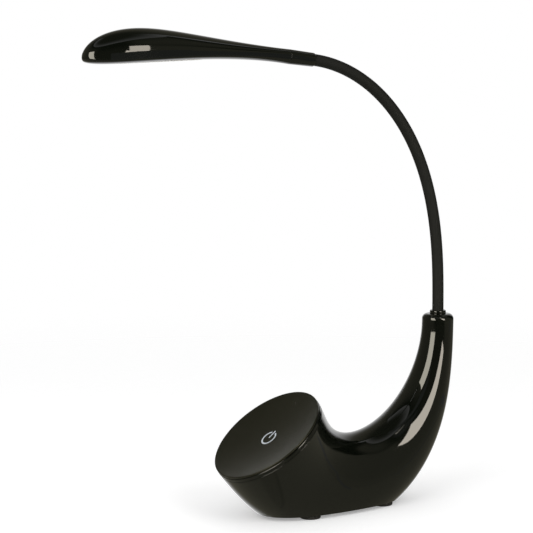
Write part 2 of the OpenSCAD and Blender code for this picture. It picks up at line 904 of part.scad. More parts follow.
base_shell();
bottom_cover();
rubber_feet();
cover_screws();
ballast_weight();
panel_ring();
touch_panel();
power_mark();
sensor_window();
touch_board();
mark_led();
driver_board();
board_posts();
board_parts();
inlet_bezel();
dc_jack();
jack_contacts();
inlet_lead();
panel_lead();
neck_lead();
neck_collar();
neck_ferrule();
neck_nut();
for (i = [0:LINKS]) {
    neck_sleeve(i);
    neck_core(i);
}
head_collar();
core_clip();
head_shell();
head_cover();
diffuser();
reflector();
led_board();
leds();
heat_spreader();
head_screws();
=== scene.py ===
"""Looks of the gooseneck desk lamp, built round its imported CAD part.

The lamp's lengths are millimetres, and piece() turns them into metres. The studio and the camera are
laid out in metres. The lamp's own frame has the horn's axis at y = 0 and the casing's lower edge at z = 0.
"""

import json
import math

import bmesh
import bpy
import numpy as np
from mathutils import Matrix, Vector


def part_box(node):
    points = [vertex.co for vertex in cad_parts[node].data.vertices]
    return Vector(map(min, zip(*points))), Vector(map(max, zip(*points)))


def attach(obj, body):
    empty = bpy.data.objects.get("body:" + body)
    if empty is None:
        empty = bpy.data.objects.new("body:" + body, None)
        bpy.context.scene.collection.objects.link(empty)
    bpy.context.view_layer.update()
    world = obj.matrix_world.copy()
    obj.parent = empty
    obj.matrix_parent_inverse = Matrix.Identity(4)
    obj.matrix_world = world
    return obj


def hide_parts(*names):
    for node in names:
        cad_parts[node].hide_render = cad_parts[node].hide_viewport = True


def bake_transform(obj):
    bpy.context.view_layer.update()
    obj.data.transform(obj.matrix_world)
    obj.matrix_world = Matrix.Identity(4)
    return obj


MM = 0.001

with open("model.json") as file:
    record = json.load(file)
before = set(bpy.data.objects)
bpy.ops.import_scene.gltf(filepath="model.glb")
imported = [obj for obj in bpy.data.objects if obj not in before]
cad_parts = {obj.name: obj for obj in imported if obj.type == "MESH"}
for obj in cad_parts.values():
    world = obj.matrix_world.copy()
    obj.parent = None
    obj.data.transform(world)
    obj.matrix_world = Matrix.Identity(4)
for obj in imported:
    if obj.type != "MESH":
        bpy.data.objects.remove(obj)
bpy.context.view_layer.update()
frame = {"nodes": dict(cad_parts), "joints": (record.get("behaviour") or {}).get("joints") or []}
joints = frame["joints"]


def box_mm(node):
    """Lowest and highest corner of a CAD node, in millimetres."""
    low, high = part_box(node)
    return np.array(low) / MM, np.array(high) / MM


# ---- Sizes of the lamp, as in the CAD part ----

PANEL_D = 100
PANEL_TILT = math.radians(37.5)
PANEL_REACH = 171.5
PANEL_RISE = 67
DISH_DEPTH = 4.5
HORN_H = 154
HORN_R = 13.6
SHOULDER_R = 4.5
WAIST = 0.54
SHELL_WALL = 2.5
RING_H = 3.2
SEAM = 0.25
NECK_R = 4.85
CORE_R = 3.3
CORE_BORE_R = 1.6
WIRE_R = 0.9
NECK_LEAN = 83.5
NECK_EASE = 1.67
HEAD_L = 203.5
COLLAR_L = 24
COLLAR_R = 6
HEAD_W = 37
HEAD_WALL = 1.8
WINDOW_L = 82
WINDOW_W = 21
WINDOW_INSET = 60
INLET_R = 5.25
INLET_WALL = 1.6
INLET_DEPTH = 5
INLET_Z = 33
PLAY = 0.1              # between a piece and the bore or pocket that holds it
SLACK = 0.3             # between pieces that face each other inside the casing
LINKS = len(joints)

HORN_Y = joints[0]["pos_m"][1] / MM
FOOT_H = box_mm("bottom_cover")[0][2]


# ---- Curves and places ----

def pulled(control, t):
    """Points at t on the smooth curve from the first to the last of control, pulled by those between."""
    t = np.asarray(t, float).reshape(-1, 1)
    points = [np.repeat(np.atleast_2d(np.asarray(p, float)), len(t), 0) for p in control]
    while len(points) > 1:
        points = [a * (1 - t) + b * t for a, b in zip(points, points[1:])]
    return points[0]


def on_stand(points):
    """Points of the lamp's own frame, moved to where the lamp stands."""
    return np.asarray(points, float) + [0, HORN_Y, FOOT_H]


def leaned(points, place, lean):
    """Points of a frame at place [y, z] whose +Z leans towards the front by an angle in radians."""
    x, y, z = np.asarray(points, float).T
    return np.stack([
        x,
        place[0] + y * math.cos(lean) - z * math.sin(lean),
        place[1] + y * math.sin(lean) + z * math.cos(lean),
    ], -1)


MOST_ROUNDED = 0.48                 # of an edge, by the rounding at one of its ends


def rounded(outline, radius, steps=5, closed=True):
    """The outline [[r, z], ...] with its corners rounded by up to radius, one for all or one for each."""
    points = [np.array(p, float) for p in outline]
    radii = np.broadcast_to(radius, len(points))
    last = len(points) - 1
    made = []
    for i, corner in enumerate(points):
        if not closed and i in (0, last):
            made.append(corner)
            continue
        before, after = points[i - 1] - corner, points[(i + 1) % len(points)] - corner
        start = corner + before * min(radii[i] / np.linalg.norm(before), MOST_ROUNDED)
        end = corner + after * min(radii[i] / np.linalg.norm(after), MOST_ROUNDED)
        made += list(pulled([start, corner, end], np.linspace(0, 1, steps)))
    return np.array(made)


def loft(rows, ring=True, loop=False):
    """Points and faces of the skin over rows of points: ring closes each row, loop joins last to first."""
    count, across = len(rows), len(rows[0])
    faces = []
    for i in range(count if loop else count - 1):
        after = (i + 1) % count * across
        for j in range(across if ring else across - 1):
            beside = (j + 1) % across
            faces.append((i * across + j, i * across + beside, after + beside, after + j))
    return np.concatenate(rows), faces


def turned_on_z(outline, around, closed=True):
    """Points and faces of an outline [r, z] turned round the Z axis."""
    angles = np.linspace(0, 2 * np.pi, around, endpoint=False)
    rows = [np.stack([r * np.cos(angles), r * np.sin(angles), np.full(around, z)], -1) for r, z in outline]
    return loft(rows, loop=closed)


def end_caps(rows):
    """Faces that close the first and last row, where rows run out along an arc and back along another."""
    across = len(rows[0])
    return [
        tuple(first + k for k in (j, j + 1, across - 2 - j, across - 1 - j))
        for first in (0, (len(rows) - 1) * across)
        for j in range(across // 2 - 1)
    ]


def joined(*skins):
    """Several (points, faces) as one."""
    points, faces, start = [], [], 0
    for skin_points, skin_faces in skins:
        points.append(np.asarray(skin_points, float))
        faces += [tuple(index + start for index in face) for face in skin_faces]
        start += len(skin_points)
    return np.concatenate(points), faces


# ---- Pieces ----

MERGE_M = 1e-7                      # points that lie closer become one, in metres
SHORT_EDGE_M = 1e-8
SHARP_ANGLE = math.radians(35)


def placed(name, data):
    """A new object of the scene that holds the data."""
    made = bpy.data.objects.new(name, data)
    bpy.context.scene.collection.objects.link(made)
    return made


def skin_mesh(name, skin):
    """A mesh with the points and faces of a skin."""
    points, faces = skin
    mesh = bpy.data.meshes.new(name)
    mesh.from_pydata((np.asarray(points) * MM).tolist(), [], faces)
    return mesh


def piece(name, skin, surface, body=None, stands_for=(), straight=None):
    """A shown piece with a skin (points, faces) that is placed where the lamp stands. straight holds the
    same points on the piece's unbent form, for patterns that follow it."""
    mesh = skin_mesh(name, skin)
    made = placed(name, mesh)
    if straight is not None:
        layer = mesh.attributes.new("straight", "FLOAT_VECTOR", "POINT")
        layer.data.foreach_set("vector", np.asarray(straight, np.float32).ravel())
    tidy(mesh)
    shade(mesh)
    mesh.materials.append(surface)
    if stands_for:
        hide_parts(*stands_for)
    if body:
        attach(made, body)
    return made


def tidy(mesh):
    """Merges points that coincide and turns all faces outwards."""
    draft = bmesh.new()
    draft.from_mesh(mesh)
    bmesh.ops.remove_doubles(draft, verts=draft.verts, dist=MERGE_M)
    bmesh.ops.dissolve_degenerate(draft, edges=draft.edges, dist=SHORT_EDGE_M)
    bmesh.ops.recalc_face_normals(draft, faces=draft.faces)
    draft.to_mesh(mesh)
    draft.free()


def shade(mesh):
    """Smooth, but for edges that turn by more than SHARP_ANGLE."""
    mesh.shade_smooth()
    mesh.set_sharp_from_angle(angle=SHARP_ANGLE)


def cut(made, skin):
    """Takes the closed skin out of a piece."""
    mesh = skin_mesh("cutter", skin)
    tidy(mesh)
    cutter = placed("cutter", mesh)
    hole = made.modifiers.new("hole", "BOOLEAN")
    hole.object = cutter
    hole.operation = "DIFFERENCE"
    hole.solver = "EXACT"
    bpy.context.view_layer.update()
    with bpy.context.temp_override(object=made, active_object=made, selected_objects=[made]):
        bpy.ops.object.modifier_apply(modifier=hole.name)
    bpy.data.objects.remove(cutter)
    shade(made.data)


# ---- Materials ----

def linear(hex_colour):
    """Linear RGBA of an sRGB colour such as "#1c1c1a"."""
    levels = [int(hex_colour[i:i + 2], 16) / 255 for i in (1, 3, 5)]
    return [v / 12.92 if v <= 0.04045 else ((v + 0.055) / 1.055) ** 2.4 for v in levels] + [1]


def add(tree, kind, inputs=None, **settings):
    """A new node of a kind, with its settings, and with its inputs set to values or joined to outputs."""
    made = tree.nodes.new(kind)
    for name, value in settings.items():
        setattr(made, name, value)
    for socket, value in (inputs or {}).items():
        if isinstance(value, bpy.types.NodeSocket):
            tree.links.new(value, made.inputs[socket])
        else:
            made.inputs[socket].default_value = value
    return made


def blank(name):
    """An empty material and its node tree."""
    made = bpy.data.materials.new(name)
    made.use_nodes = True
    made.node_tree.nodes.clear()
    return made, made.node_tree


def places_mm(tree, laid_by=None):
    """The place on the piece, in millimetres, or on its unbent form where an attribute holds that."""
    if laid_by:
        return add(tree, "ShaderNodeAttribute", attribute_name=laid_by).outputs["Vector"]
    place = add(tree, "ShaderNodeTexCoord").outputs["Object"]
    return add(tree, "ShaderNodeVectorMath", {0: place, 1: (1 / MM,) * 3}, operation="MULTIPLY").outputs[0]


MIX_A, MIX_B = 6, 7                 # the colour inputs of a mix node, whose output of colour is MIX_MADE
MIX_MADE = 2
DRIFT_FROM, DRIFT_TO = 0.3, 0.7     # levels of the cloud that most of it lies between
WEAR_FROM, WEAR_TO = 0.52, 0.64     # pointiness at which an edge begins to wear, and is worn
WORN_MOST = 0.8                     # share of the worn colour there


def finish(name, colours, patch, roughness, grain, relief, detail, drawn_out=(1, 1, 1), laid_by=None,
           rubbed=None, fixed=None):
    """A material whose colour drifts between two values over patches of a size in millimetres, and whose
    roughness lies between two values. relief is the depth, in millimetres, of grains of another size, which
    drawn_out lengthens along X, Y, Z. laid_by names the attribute that the patterns follow, rubbed is the
    colour of edges that wear, and fixed sets sockets of the shader."""
    made, tree = blank(name)
    place = places_mm(tree, laid_by)
    cloud = add(tree, "ShaderNodeTexNoise", {"Vector": place, "Scale": 1 / patch, "Detail": 2.0})
    colour = add(tree, "ShaderNodeMix", {
        0: cloud.outputs["Fac"], MIX_A: linear(colours[0]), MIX_B: linear(colours[1]),
    }, data_type="RGBA").outputs[MIX_MADE]
    if rubbed:
        corner = add(tree, "ShaderNodeNewGeometry").outputs["Pointiness"]
        worn = add(tree, "ShaderNodeMapRange", {
            "Value": corner, "From Min": WEAR_FROM, "From Max": WEAR_TO, "To Max": WORN_MOST,
        })
        colour = add(tree, "ShaderNodeMix", {
            0: worn.outputs["Result"], MIX_A: colour, MIX_B: linear(rubbed),
        }, data_type="RGBA").outputs[MIX_MADE]
    stretched = add(tree, "ShaderNodeVectorMath", {
        0: place, 1: tuple(1 / (grain * long) for long in drawn_out),
    }, operation="MULTIPLY").outputs[0]
    grains = add(tree, "ShaderNodeTexNoise", {"Vector": stretched, "Scale": 1.0, "Detail": detail})
    half_spread = (roughness[1] - roughness[0]) / 2
    drift = add(tree, "ShaderNodeMapRange", {
        "Value": cloud.outputs["Fac"], "From Min": DRIFT_FROM, "From Max": DRIFT_TO,
        "To Min": roughness[0] - half_spread, "To Max": roughness[1] - half_spread,
    }, clamp=True)
    rough = add(tree, "ShaderNodeMath", {
        0: grains.outputs["Fac"], 1: 2 * half_spread, 2: drift.outputs["Result"],
    }, operation="MULTIPLY_ADD")
    bump = add(tree, "ShaderNodeBump", {
        "Strength": 1.0, "Distance": relief * MM, "Height": grains.outputs["Fac"],
    })
    shader = add(tree, "ShaderNodeBsdfPrincipled", {
        "Base Color": colour, "Roughness": rough.outputs[0], "Normal": bump.outputs["Normal"],
        **(fixed or {}),
    })
    add(tree, "ShaderNodeOutputMaterial", {"Surface": shader.outputs["BSDF"]})
    return made


PLASTIC = {"IOR": 1.53}
POLYCARBONATE = {"IOR": 1.58}
METAL = {"Metallic": 1.0}

# Black ABS from a mirror-polished mould: it mirrors the room sharply, with a faint ripple where the wall
# shrank and a haze where it has been wiped
gloss_abs = finish(
    "gloss_black_abs", ("#080b07", "#0c0e09"), patch=34, roughness=(0.03, 0.06),
    grain=13, relief=0.003, detail=1.0, rubbed="#141511", fixed=PLASTIC,
)
# The ring under the panel, from a mould that was lapped once more, so it is the sharpest mirror
ring_abs = finish(
    "lapped_black_abs", ("#0a0c08", "#0e100b"), patch=20, roughness=(0.03, 0.05),
    grain=9, relief=0.002, detail=1.0, rubbed="#151612", fixed=PLASTIC,
)
# The panel's dish: ABS from a finely blasted mould, which spreads what it mirrors into a soft sheen, a
# little olive from its pigment. Its grain is 0.1 mm and is drawn coarser, so that it shows
satin_abs = finish(
    "satin_black_abs", ("#0d0f09", "#13140e"), patch=26, roughness=(0.3, 0.36),
    grain=0.7, relief=0.005, detail=3.0, rubbed="#1f1f1a",
    fixed={**PLASTIC, "Specular Tint": linear("#fffee0")},
)
# The bottom cover: spark-eroded ABS, dull and finely pitted
eroded_abs = finish(
    "spark_eroded_abs", ("#141413", "#1b1b19"), patch=14, roughness=(0.5, 0.64),
    grain=0.8, relief=0.04, detail=3.0, rubbed="#2b2b29", fixed=PLASTIC,
)
# The mark: translucent white polycarbonate, moulded in flush and blasted with the dish, so it is a soft
# bluish white that hardly shines
mark_pc = finish(
    "white_polycarbonate", ("#c3cbd2", "#d0d7dc"), patch=6, roughness=(0.3, 0.38),
    grain=0.7, relief=0.003, detail=2.0, fixed=POLYCARBONATE,
)
# Smoked polycarbonate over the light sensor, polished, so it shows as a dark glassy dot
smoked_pc = finish(
    "smoked_polycarbonate", ("#060607", "#0a0a0b"), patch=2, roughness=(0.1, 0.16),
    grain=0.5, relief=0.001, detail=1.0, fixed=POLYCARBONATE,
)
# The neck's extruded silicone sleeve: dull black, with fine lines that the die dragged along it and
# a bloom of dust. The lines are 0.1 mm apart and are drawn coarser
sleeve_silicone = finish(
    "extruded_silicone", ("#121310", "#1a1b17"), patch=7, roughness=(0.66, 0.8),
    grain=1.1, relief=0.006, detail=3.0, drawn_out=(1, 1, 30), laid_by="straight",
    fixed={"IOR": 1.41, "Specular IOR Level": 0.3},
)
# The soles: moulded rubber, matt, greyed at the rim that rubs on the table
sole_rubber = finish(
    "moulded_rubber", ("#0f0f0e", "#161614"), patch=6, roughness=(0.7, 0.86),
    grain=0.6, relief=0.05, detail=4.0, rubbed="#3a3936", fixed={"IOR": 1.52},
)
# The light window: opal acrylic, moulded with a fine haze that hides the LEDs
opal_acrylic = finish(
    "opal_acrylic", ("#e6e4dd", "#eeece6"), patch=12, roughness=(0.3, 0.4),
    grain=0.5, relief=0.004, detail=2.0,
    fixed={"IOR": 1.49, "Subsurface Weight": 0.3, "Subsurface Radius": (0.002, 0.002, 0.002)},
)
# The reflector: ABS with much white pigment, so it is an even bright white, with faint flow lines along it
reflector_abs = finish(
    "white_abs", ("#e9e9e4", "#f1f1ed"), patch=10, roughness=(0.3, 0.42),
    grain=0.8, relief=0.006, detail=2.0, drawn_out=(1, 8, 1), fixed=PLASTIC,
)
# The ballast: sand-cast iron, grey and coarse, brighter where its corners were fettled
cast_iron = finish(
    "sand_cast_iron", ("#35332f", "#57534d"), patch=5, roughness=(0.6, 0.82),
    grain=1.4, relief=0.22, detail=6.0, rubbed="#8d8a85", fixed=METAL,
)
# Screws, nut and ferrule: zinc-plated steel with a faint blue and yellow cast, worn bright at the corners
zinc_steel = finish(
    "zinc_plated_steel", ("#8f959d", "#b6ae98"), patch=2.2, roughness=(0.22, 0.36),
    grain=0.5, relief=0.008, detail=3.0, rubbed="#d6d6d4", fixed=METAL,
)
# The neck's core: wound spring steel, which glints on each turn. The turns are drawn 2.2 mm apart, where
# the real ones are 1.1 mm apart
spring_steel = finish(
    "wound_spring_steel", ("#5c5b58", "#85837e"), patch=3, roughness=(0.28, 0.42),
    grain=2.2, relief=0.25, detail=1.0, drawn_out=(8, 8, 1), laid_by="straight", fixed=METAL,
)
# The board's posts: turned brass, warm and bright, with the turning marks round them
turned_brass = finish(
    "turned_brass", ("#a8843f", "#c9a45b"), patch=3, roughness=(0.2, 0.34),
    grain=0.4, relief=0.012, detail=3.0, drawn_out=(6, 6, 1), rubbed="#e0c27e", fixed=METAL,
)
# The heat spreader: rolled aluminium sheet, pale, with roll lines along it that soften what it mirrors
sheet_aluminium = finish(
    "rolled_aluminium", ("#b3b5b7", "#cdced0"), patch=8, roughness=(0.28, 0.42),
    grain=0.5, relief=0.012, detail=4.0, drawn_out=(1, 20, 1), fixed=METAL,
)
# Glass-fibre boards under green and under white solder mask: a soft gloss that the weave below makes uneven
green_board = finish(
    "green_solder_mask", ("#0e3a25", "#1c5a3b"), patch=4, roughness=(0.26, 0.38),
    grain=0.8, relief=0.02, detail=4.0, rubbed="#6f8f5a", fixed=PLASTIC,
)
white_board = finish(
    "white_solder_mask", ("#dedfda", "#ebebe7"), patch=5, roughness=(0.3, 0.4),
    grain=0.8, relief=0.02, detail=4.0, fixed=PLASTIC,
)
# The board's parts: moulded epoxy, dull and near black, with greyer corners
part_epoxy = finish(
    "moulded_epoxy", ("#17171a", "#2a2a2c"), patch=4, roughness=(0.42, 0.6),
    grain=0.5, relief=0.03, detail=4.0, rubbed="#3c3c3e", fixed=PLASTIC,
)
# The LEDs: phosphor resin, cast into their frames, a glossy yellow
led_resin = finish(
    "phosphor_resin", ("#dfc052", "#efd877"), patch=1.5, roughness=(0.2, 0.32),
    grain=0.4, relief=0.006, detail=2.0, fixed=PLASTIC,
)
# The leads: extruded PVC insulation, softly shining, with the faint unevenness that the die leaves
lead_pvc = finish(
    "black_pvc", ("#111111", "#1b1b1b"), patch=4, roughness=(0.36, 0.48),
    grain=0.8, relief=0.01, detail=3.0, fixed=PLASTIC,
)

CAD_FINISHES = {
    "bottom_cover": eroded_abs,
    "cover_screws": zinc_steel,
    "ballast_weight": cast_iron,
    "touch_board": green_board,
    "mark_led": led_resin,
    "driver_board": green_board,
    "board_posts": turned_brass,
    "board_parts": part_epoxy,
    "dc_jack": part_epoxy,
    "jack_contacts": zinc_steel,
    "inlet_lead": lead_pvc,
    "panel_lead": lead_pvc,
    "neck_ferrule": zinc_steel,
    "neck_nut": zinc_steel,
    "core_clip": zinc_steel,
    "reflector": reflector_abs,
    "led_board": white_board,
    "leds": led_resin,
    "heat_spreader": sheet_aluminium,
    "head_screws": zinc_steel,
}


def dress_cad_nodes():
    """Gives the CAD nodes that stay their finish."""
    for node, surface in CAD_FINISHES.items():
        made = frame["nodes"][node]
        made.data.materials.clear()
        made.data.materials.append(surface)
        shade(made.data)


# ---- Base: round sections between a top profile and a bottom profile, both [y, z] ----

PANEL_R = PANEL_D / 2
PANEL_RIM = 1.6
PANEL_UP = np.array([math.cos(PANEL_TILT), math.sin(PANEL_TILT)])
PANEL_IN = np.array([math.sin(PANEL_TILT), -math.cos(PANEL_TILT)])
PANEL_MID = np.array([-PANEL_REACH, PANEL_RISE])
MOUTH_MID = PANEL_MID + PANEL_IN * (PANEL_RIM + RING_H + 2 * SEAM)
HORN_END = HORN_H - SHOULDER_R

TOP_PROFILE = [
    MOUTH_MID + PANEL_UP * PANEL_R,
    MOUTH_MID + PANEL_UP * PANEL_R + PANEL_IN * 28,
    [54.5 - PANEL_REACH, 44],
    [-36 - HORN_R, 43],
    [-HORN_R, HORN_H - 62.5],
    [-HORN_R, HORN_END],
]
LOW_PROFILE = [
    MOUTH_MID - PANEL_UP * PANEL_R,
    MOUTH_MID - PANEL_UP * PANEL_R + PANEL_IN * 70,
    [46 - PANEL_REACH, -44.5],
    [HORN_R - 31.5, -40.5],
    [HORN_R, HORN_H - 107.5],
    [HORN_R, HORN_END],
]
WIDTH_PROFILE = [1, WAIST, WAIST + 0.24, WAIST + 0.3, 1]
HORN_BORE_R = NECK_R + 1.4
HORN_CEILING = 3
ARC = np.linspace(-1, 1, 121)
MOUTH_ROUND = 0.4
# Places of the sections near the mouth, which lie close together where its edge is rounded
MOUTH_STATIONS = [0, 0.0001, 0.0002, 0.0004, 0.0007, 0.001, 0.0015, 0.002, 0.0028, 0.0036, 0.005, 0.0075]
STATIONS = np.linspace(0.01, 1, 190, endpoint=False)
ON_PLANE = 1e-6                     # closer to x = 0 counts as on it
INNER_REACH = math.radians(174)     # how far the inner wall goes round while the outer one is still open
CEILING_SHARE = 0.75                # of the way in to the bore, at the end of the shoulder


def base_section(t, inset):
    """Middle, half height as a vector, and half width of the casing's section at t."""
    top, low = pulled(TOP_PROFILE, t)[0], pulled(LOW_PROFILE, t)[0]
    half = (top - low) / 2
    radius = np.linalg.norm(half)
    width = radius * pulled(WIDTH_PROFILE, t)[0, 0] - inset
    return (top + low) / 2, half * (1 - inset / radius), width


def reach_angle(section):
    """Angle from the top of a section at which it meets the casing's lower edge, z = 0, or half a turn
    where it stays above."""
    middle, half, _ = section
    if middle[1] - abs(half[1]) > 0:
        return math.pi
    return math.acos(-middle[1] / half[1])


def section_arc(section, last):
    """Points of a section from -last over its top to last."""
    middle, half, width = section
    angles = ARC * last
    y, z = middle[:, None] + half[:, None] * np.cos(angles)
    return np.stack([width * np.sin(angles), y, z], -1)


def level_arc(radius, height):
    """Points round a level section of the horn, from its back over its front to its back."""
    return section_arc((np.array([0.0, height]), np.array([-radius, 0.0]), radius), math.pi)


def soft_mouth(arc):
    """Rounds the outer edge of the casing's mouth."""
    depth = (arc[:, 1:] - MOUTH_MID) @ PANEL_IN
    missing = np.clip(MOUTH_ROUND - depth, 0, MOUTH_ROUND)
    drawn_in = MOUTH_ROUND - np.sqrt(MOUTH_ROUND ** 2 - missing ** 2)
    centre = np.array([0, *MOUTH_MID]) + depth[:, None] * np.array([0, *PANEL_IN])
    out = arc - centre
    return arc - out / np.linalg.norm(out, axis=1)[:, None] * drawn_in[:, None]


def casing_band(t):
    """Outer arc and inner arc, which runs back, of the casing at t."""
    outer, inner = base_section(t, 0), base_section(t, SHELL_WALL)
    last = reach_angle(outer)
    inner_last = math.pi if last == math.pi else min(reach_angle(inner), INNER_REACH)
    return np.concatenate([soft_mouth(section_arc(outer, last)), section_arc(inner, inner_last)[::-1]])


def casing_skin():
    """Up the casing, round the horn's shoulder, and in to the bore of its top."""
    rows = [casing_band(t) for t in [*MOUTH_STATIONS, *STATIONS]]
    ceiling = HORN_H - HORN_CEILING
    hollow_r = HORN_R - SHELL_WALL
    for a in np.linspace(0, math.pi / 2, 10):
        inner_r = hollow_r + (HORN_BORE_R - hollow_r) * a / (math.pi / 2) * CEILING_SHARE
        rows.append(np.concatenate([
            level_arc(HORN_R - SHOULDER_R * (1 - math.cos(a)), HORN_END + SHOULDER_R * math.sin(a)),
            level_arc(inner_r, ceiling)[::-1],
        ]))
    rows.append(np.concatenate([level_arc(HORN_BORE_R, HORN_H), level_arc(HORN_BORE_R, ceiling)[::-1]]))
    points, faces = loft(rows)
    # Where a section is closed, its two ends meet at x = 0 and have no wall between them
    walls = [face for face in faces if any(abs(points[index][0]) > ON_PLANE for index in face)]
    return points, walls + end_caps(rows)


INLET_CUT = [-40, 20]               # from inside the horn to outside it, from the inlet's middle


def base_casing():
    """The drum and the horn in one, with the hole for the inlet cut before the casing rides its body."""
    points, faces = casing_skin()
    made = piece("base_casing", (on_stand(points), faces), gloss_abs, stands_for=["base_shell"])
    hole_r = INLET_R + INLET_WALL + PLAY
    low, high = box_mm("inlet_bezel")
    middle = [0, (low[1] + high[1]) / 2, INLET_Z + FOOT_H]
    inner, outer = INLET_CUT
    outline = [[0, inner], [hole_r, inner], [hole_r, outer], [0, outer]]
    points, faces = turned_on_z(outline, around=64, closed=False)
    x, y, z = points.T
    cut(made, (np.stack([x, z, y], -1) + middle, faces))
    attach(made, "base")


def on_panel(skin):
    """A skin of the panel's frame, whose +Z is square out of the panel's rim."""
    return on_stand(leaned(skin[0], PANEL_MID, PANEL_TILT)), skin[1]


HUB_R = PANEL_R - 4.5
LEDGE_R = HUB_R - 4
PANEL_EDGE_R = PANEL_R - 0.2
PANEL_ROUND = 0.5
PANEL_T = DISH_DEPTH + 1.5
DISH_EDGE_R = PANEL_R - 1
DISH_R = (DISH_EDGE_R ** 2 + DISH_DEPTH ** 2) / (2 * DISH_DEPTH)
SPIGOT_R = PANEL_R - SHELL_WALL - 1.3       # the casing draws in behind its mouth
SPIGOT_H = 2.5
RING_ROUND = 1.1
EDGE_ROUND = 0.3


def dish_level(radius):
    """Height of the dish at a distance from its middle."""
    return DISH_R - DISH_DEPTH - math.sqrt(DISH_R ** 2 - radius ** 2)


def touch_dish():
    """The dished panel with the hub that sits in the ring."""
    dish = [[r, dish_level(r)] for r in np.linspace(0, DISH_EDGE_R, 60)]
    rim = rounded([
        dish[-1], [PANEL_EDGE_R, 0], [PANEL_EDGE_R, -PANEL_RIM], [HUB_R, -PANEL_RIM], [HUB_R, -PANEL_T],
        [0, -PANEL_T],
    ], PANEL_ROUND, closed=False)
    outline = np.concatenate([dish[:-1], rim])
    piece("touch_dish", on_panel(turned_on_z(outline, around=192, closed=False)), satin_abs, "base",
          ["touch_panel"])


def bright_ring():
    """The ring under the panel, with the spigot that seats it in the casing."""
    bore_r = HUB_R + SLACK
    top = -PANEL_RIM - SEAM
    bottom = top - RING_H
    spigot_end = bottom - SPIGOT_H
    outline = rounded([
        [bore_r, top], [PANEL_R, top], [PANEL_R, bottom], [SPIGOT_R, bottom],
        [SPIGOT_R, spigot_end], [LEDGE_R, spigot_end], [LEDGE_R, -PANEL_T], [bore_r, -PANEL_T],
    ], [EDGE_ROUND, RING_ROUND, MOUTH_ROUND] + [EDGE_ROUND] * 5, steps=9)
    piece("bright_ring", on_panel(turned_on_z(outline, around=192)), ring_abs, "base",
          ["panel_ring"])


MARK_R = 6.5
MARK_LINE = 1.4
MARK_BAR = 8.3
MARK_GAP = math.atan(0.5)
MARK_PROUD = 0.03
MARK_DEPTH = 0.5


def bent_strip(line, width, top, bottom):
    """Skin of a strip with round ends along a line [x, y], laid on the dish from bottom to top above it."""
    line = np.asarray(line, float)
    way = np.gradient(line, axis=0)
    way /= np.linalg.norm(way, axis=1)[:, None]
    side = np.stack([-way[:, 1], way[:, 0]], -1) * width / 2
    turn = np.linspace(0, math.pi, 13)[1:-1, None]
    start = line[0] + side[0] * np.cos(turn) - way[0] * width / 2 * np.sin(turn)
    end = line[-1] - side[-1] * np.cos(turn) + way[-1] * width / 2 * np.sin(turn)
    outline = np.concatenate([(line + side)[::-1], start, line - side, end])
    level = np.array([dish_level(math.hypot(*p)) for p in outline])
    points, faces = loft([np.stack([*outline.T, level + height], -1) for height in (bottom, top)])
    across, count = len(outline), len(line)
    left = list(range(count - 1, -1, -1))
    right = [count + len(start) + i for i in range(count)]
    lids = [(left[i], left[i + 1], right[i + 1], right[i]) for i in range(count - 1)]
    lids.append([left[0], *range(count, count + len(start)), right[0]])
    lids.append([right[-1], *range(2 * count + len(start), across), left[-1]])
    faces += [tuple(first + k for k in lid) for first in (0, across) for lid in lids]
    return points, faces


def power_symbol():
    """An open ring with a bar in its gap, flush in the dish."""
    angles = np.linspace(math.pi / 2 + MARK_GAP, math.pi * 5 / 2 - MARK_GAP, 72)
    ring = np.stack([MARK_R * np.cos(angles), MARK_R * np.sin(angles)], -1)
    bar = [[0, y] for y in np.linspace(MARK_LINE / 2, MARK_BAR - MARK_LINE / 2, 8)]
    strips = [bent_strip(line, MARK_LINE, MARK_PROUD, -MARK_DEPTH) for line in (ring, bar)]
    piece("power_symbol", on_panel(joined(*strips)), mark_pc, "base", ["power_mark"])


SENSOR_AT = [-5, LEDGE_R - 3]
SENSOR_R = 0.8
SENSOR_BEVEL = 0.08
SENSOR_DEPTH = 2


def sensor_lens():
    """A flat lens that stands a hair out of the dish."""
    level = dish_level(math.hypot(*SENSOR_AT))
    outline = [
        [0, MARK_PROUD], [SENSOR_R - SENSOR_BEVEL, MARK_PROUD], [SENSOR_R, MARK_PROUD - SENSOR_BEVEL],
        [SENSOR_R, -SENSOR_DEPTH], [0, -SENSOR_DEPTH],
    ]
    points, faces = turned_on_z(outline, around=32, closed=False)
    piece("sensor_lens", on_panel((points + [*SENSOR_AT, level], faces)), smoked_pc, "base",
          ["sensor_window"])


SOLE_R = 8.75
SOLE_ROUND = 1.0
SOLES = [[17.5, -139.5], [11.5, -64]]       # on the right side, which the left side mirrors


def rubber_soles():
    """Four soles with a rounded rim, glued flat under the base."""
    outline = rounded([[0, 0], [SOLE_R, 0], [SOLE_R, FOOT_H], [0, FOOT_H]], SOLE_ROUND, closed=False)
    points, faces = turned_on_z(outline, around=64, closed=False)
    skins = [(points + [side * x, y + HORN_Y, 0], faces) for x, y in SOLES for side in (-1, 1)]
    piece("rubber_soles", joined(*skins), sole_rubber, "base", ["rubber_feet"])


INLET_ROUND = 0.5
JACK_R = INLET_R - 0.4


def inlet_rim():
    """The tube in the back of the horn that takes the plug, with the step that the jack sits in."""
    low, high = box_mm("inlet_bezel")
    face, depth = high[1], high[1] - low[1]
    outer, step = INLET_R + INLET_WALL, JACK_R + PLAY
    outline = rounded([
        [INLET_R, 0], [outer, 0], [outer, depth],
        [step, depth], [step, INLET_DEPTH], [INLET_R, INLET_DEPTH],
    ], INLET_ROUND)
    points, faces = turned_on_z(outline, around=96)
    x, y, z = points.T
    piece("inlet_rim", (np.stack([x, face - z, y + INLET_Z + FOOT_H], -1), faces), gloss_abs, "base",
          ["inlet_bezel"])


# ---- Neck: a smooth tube that bends over each joint ----

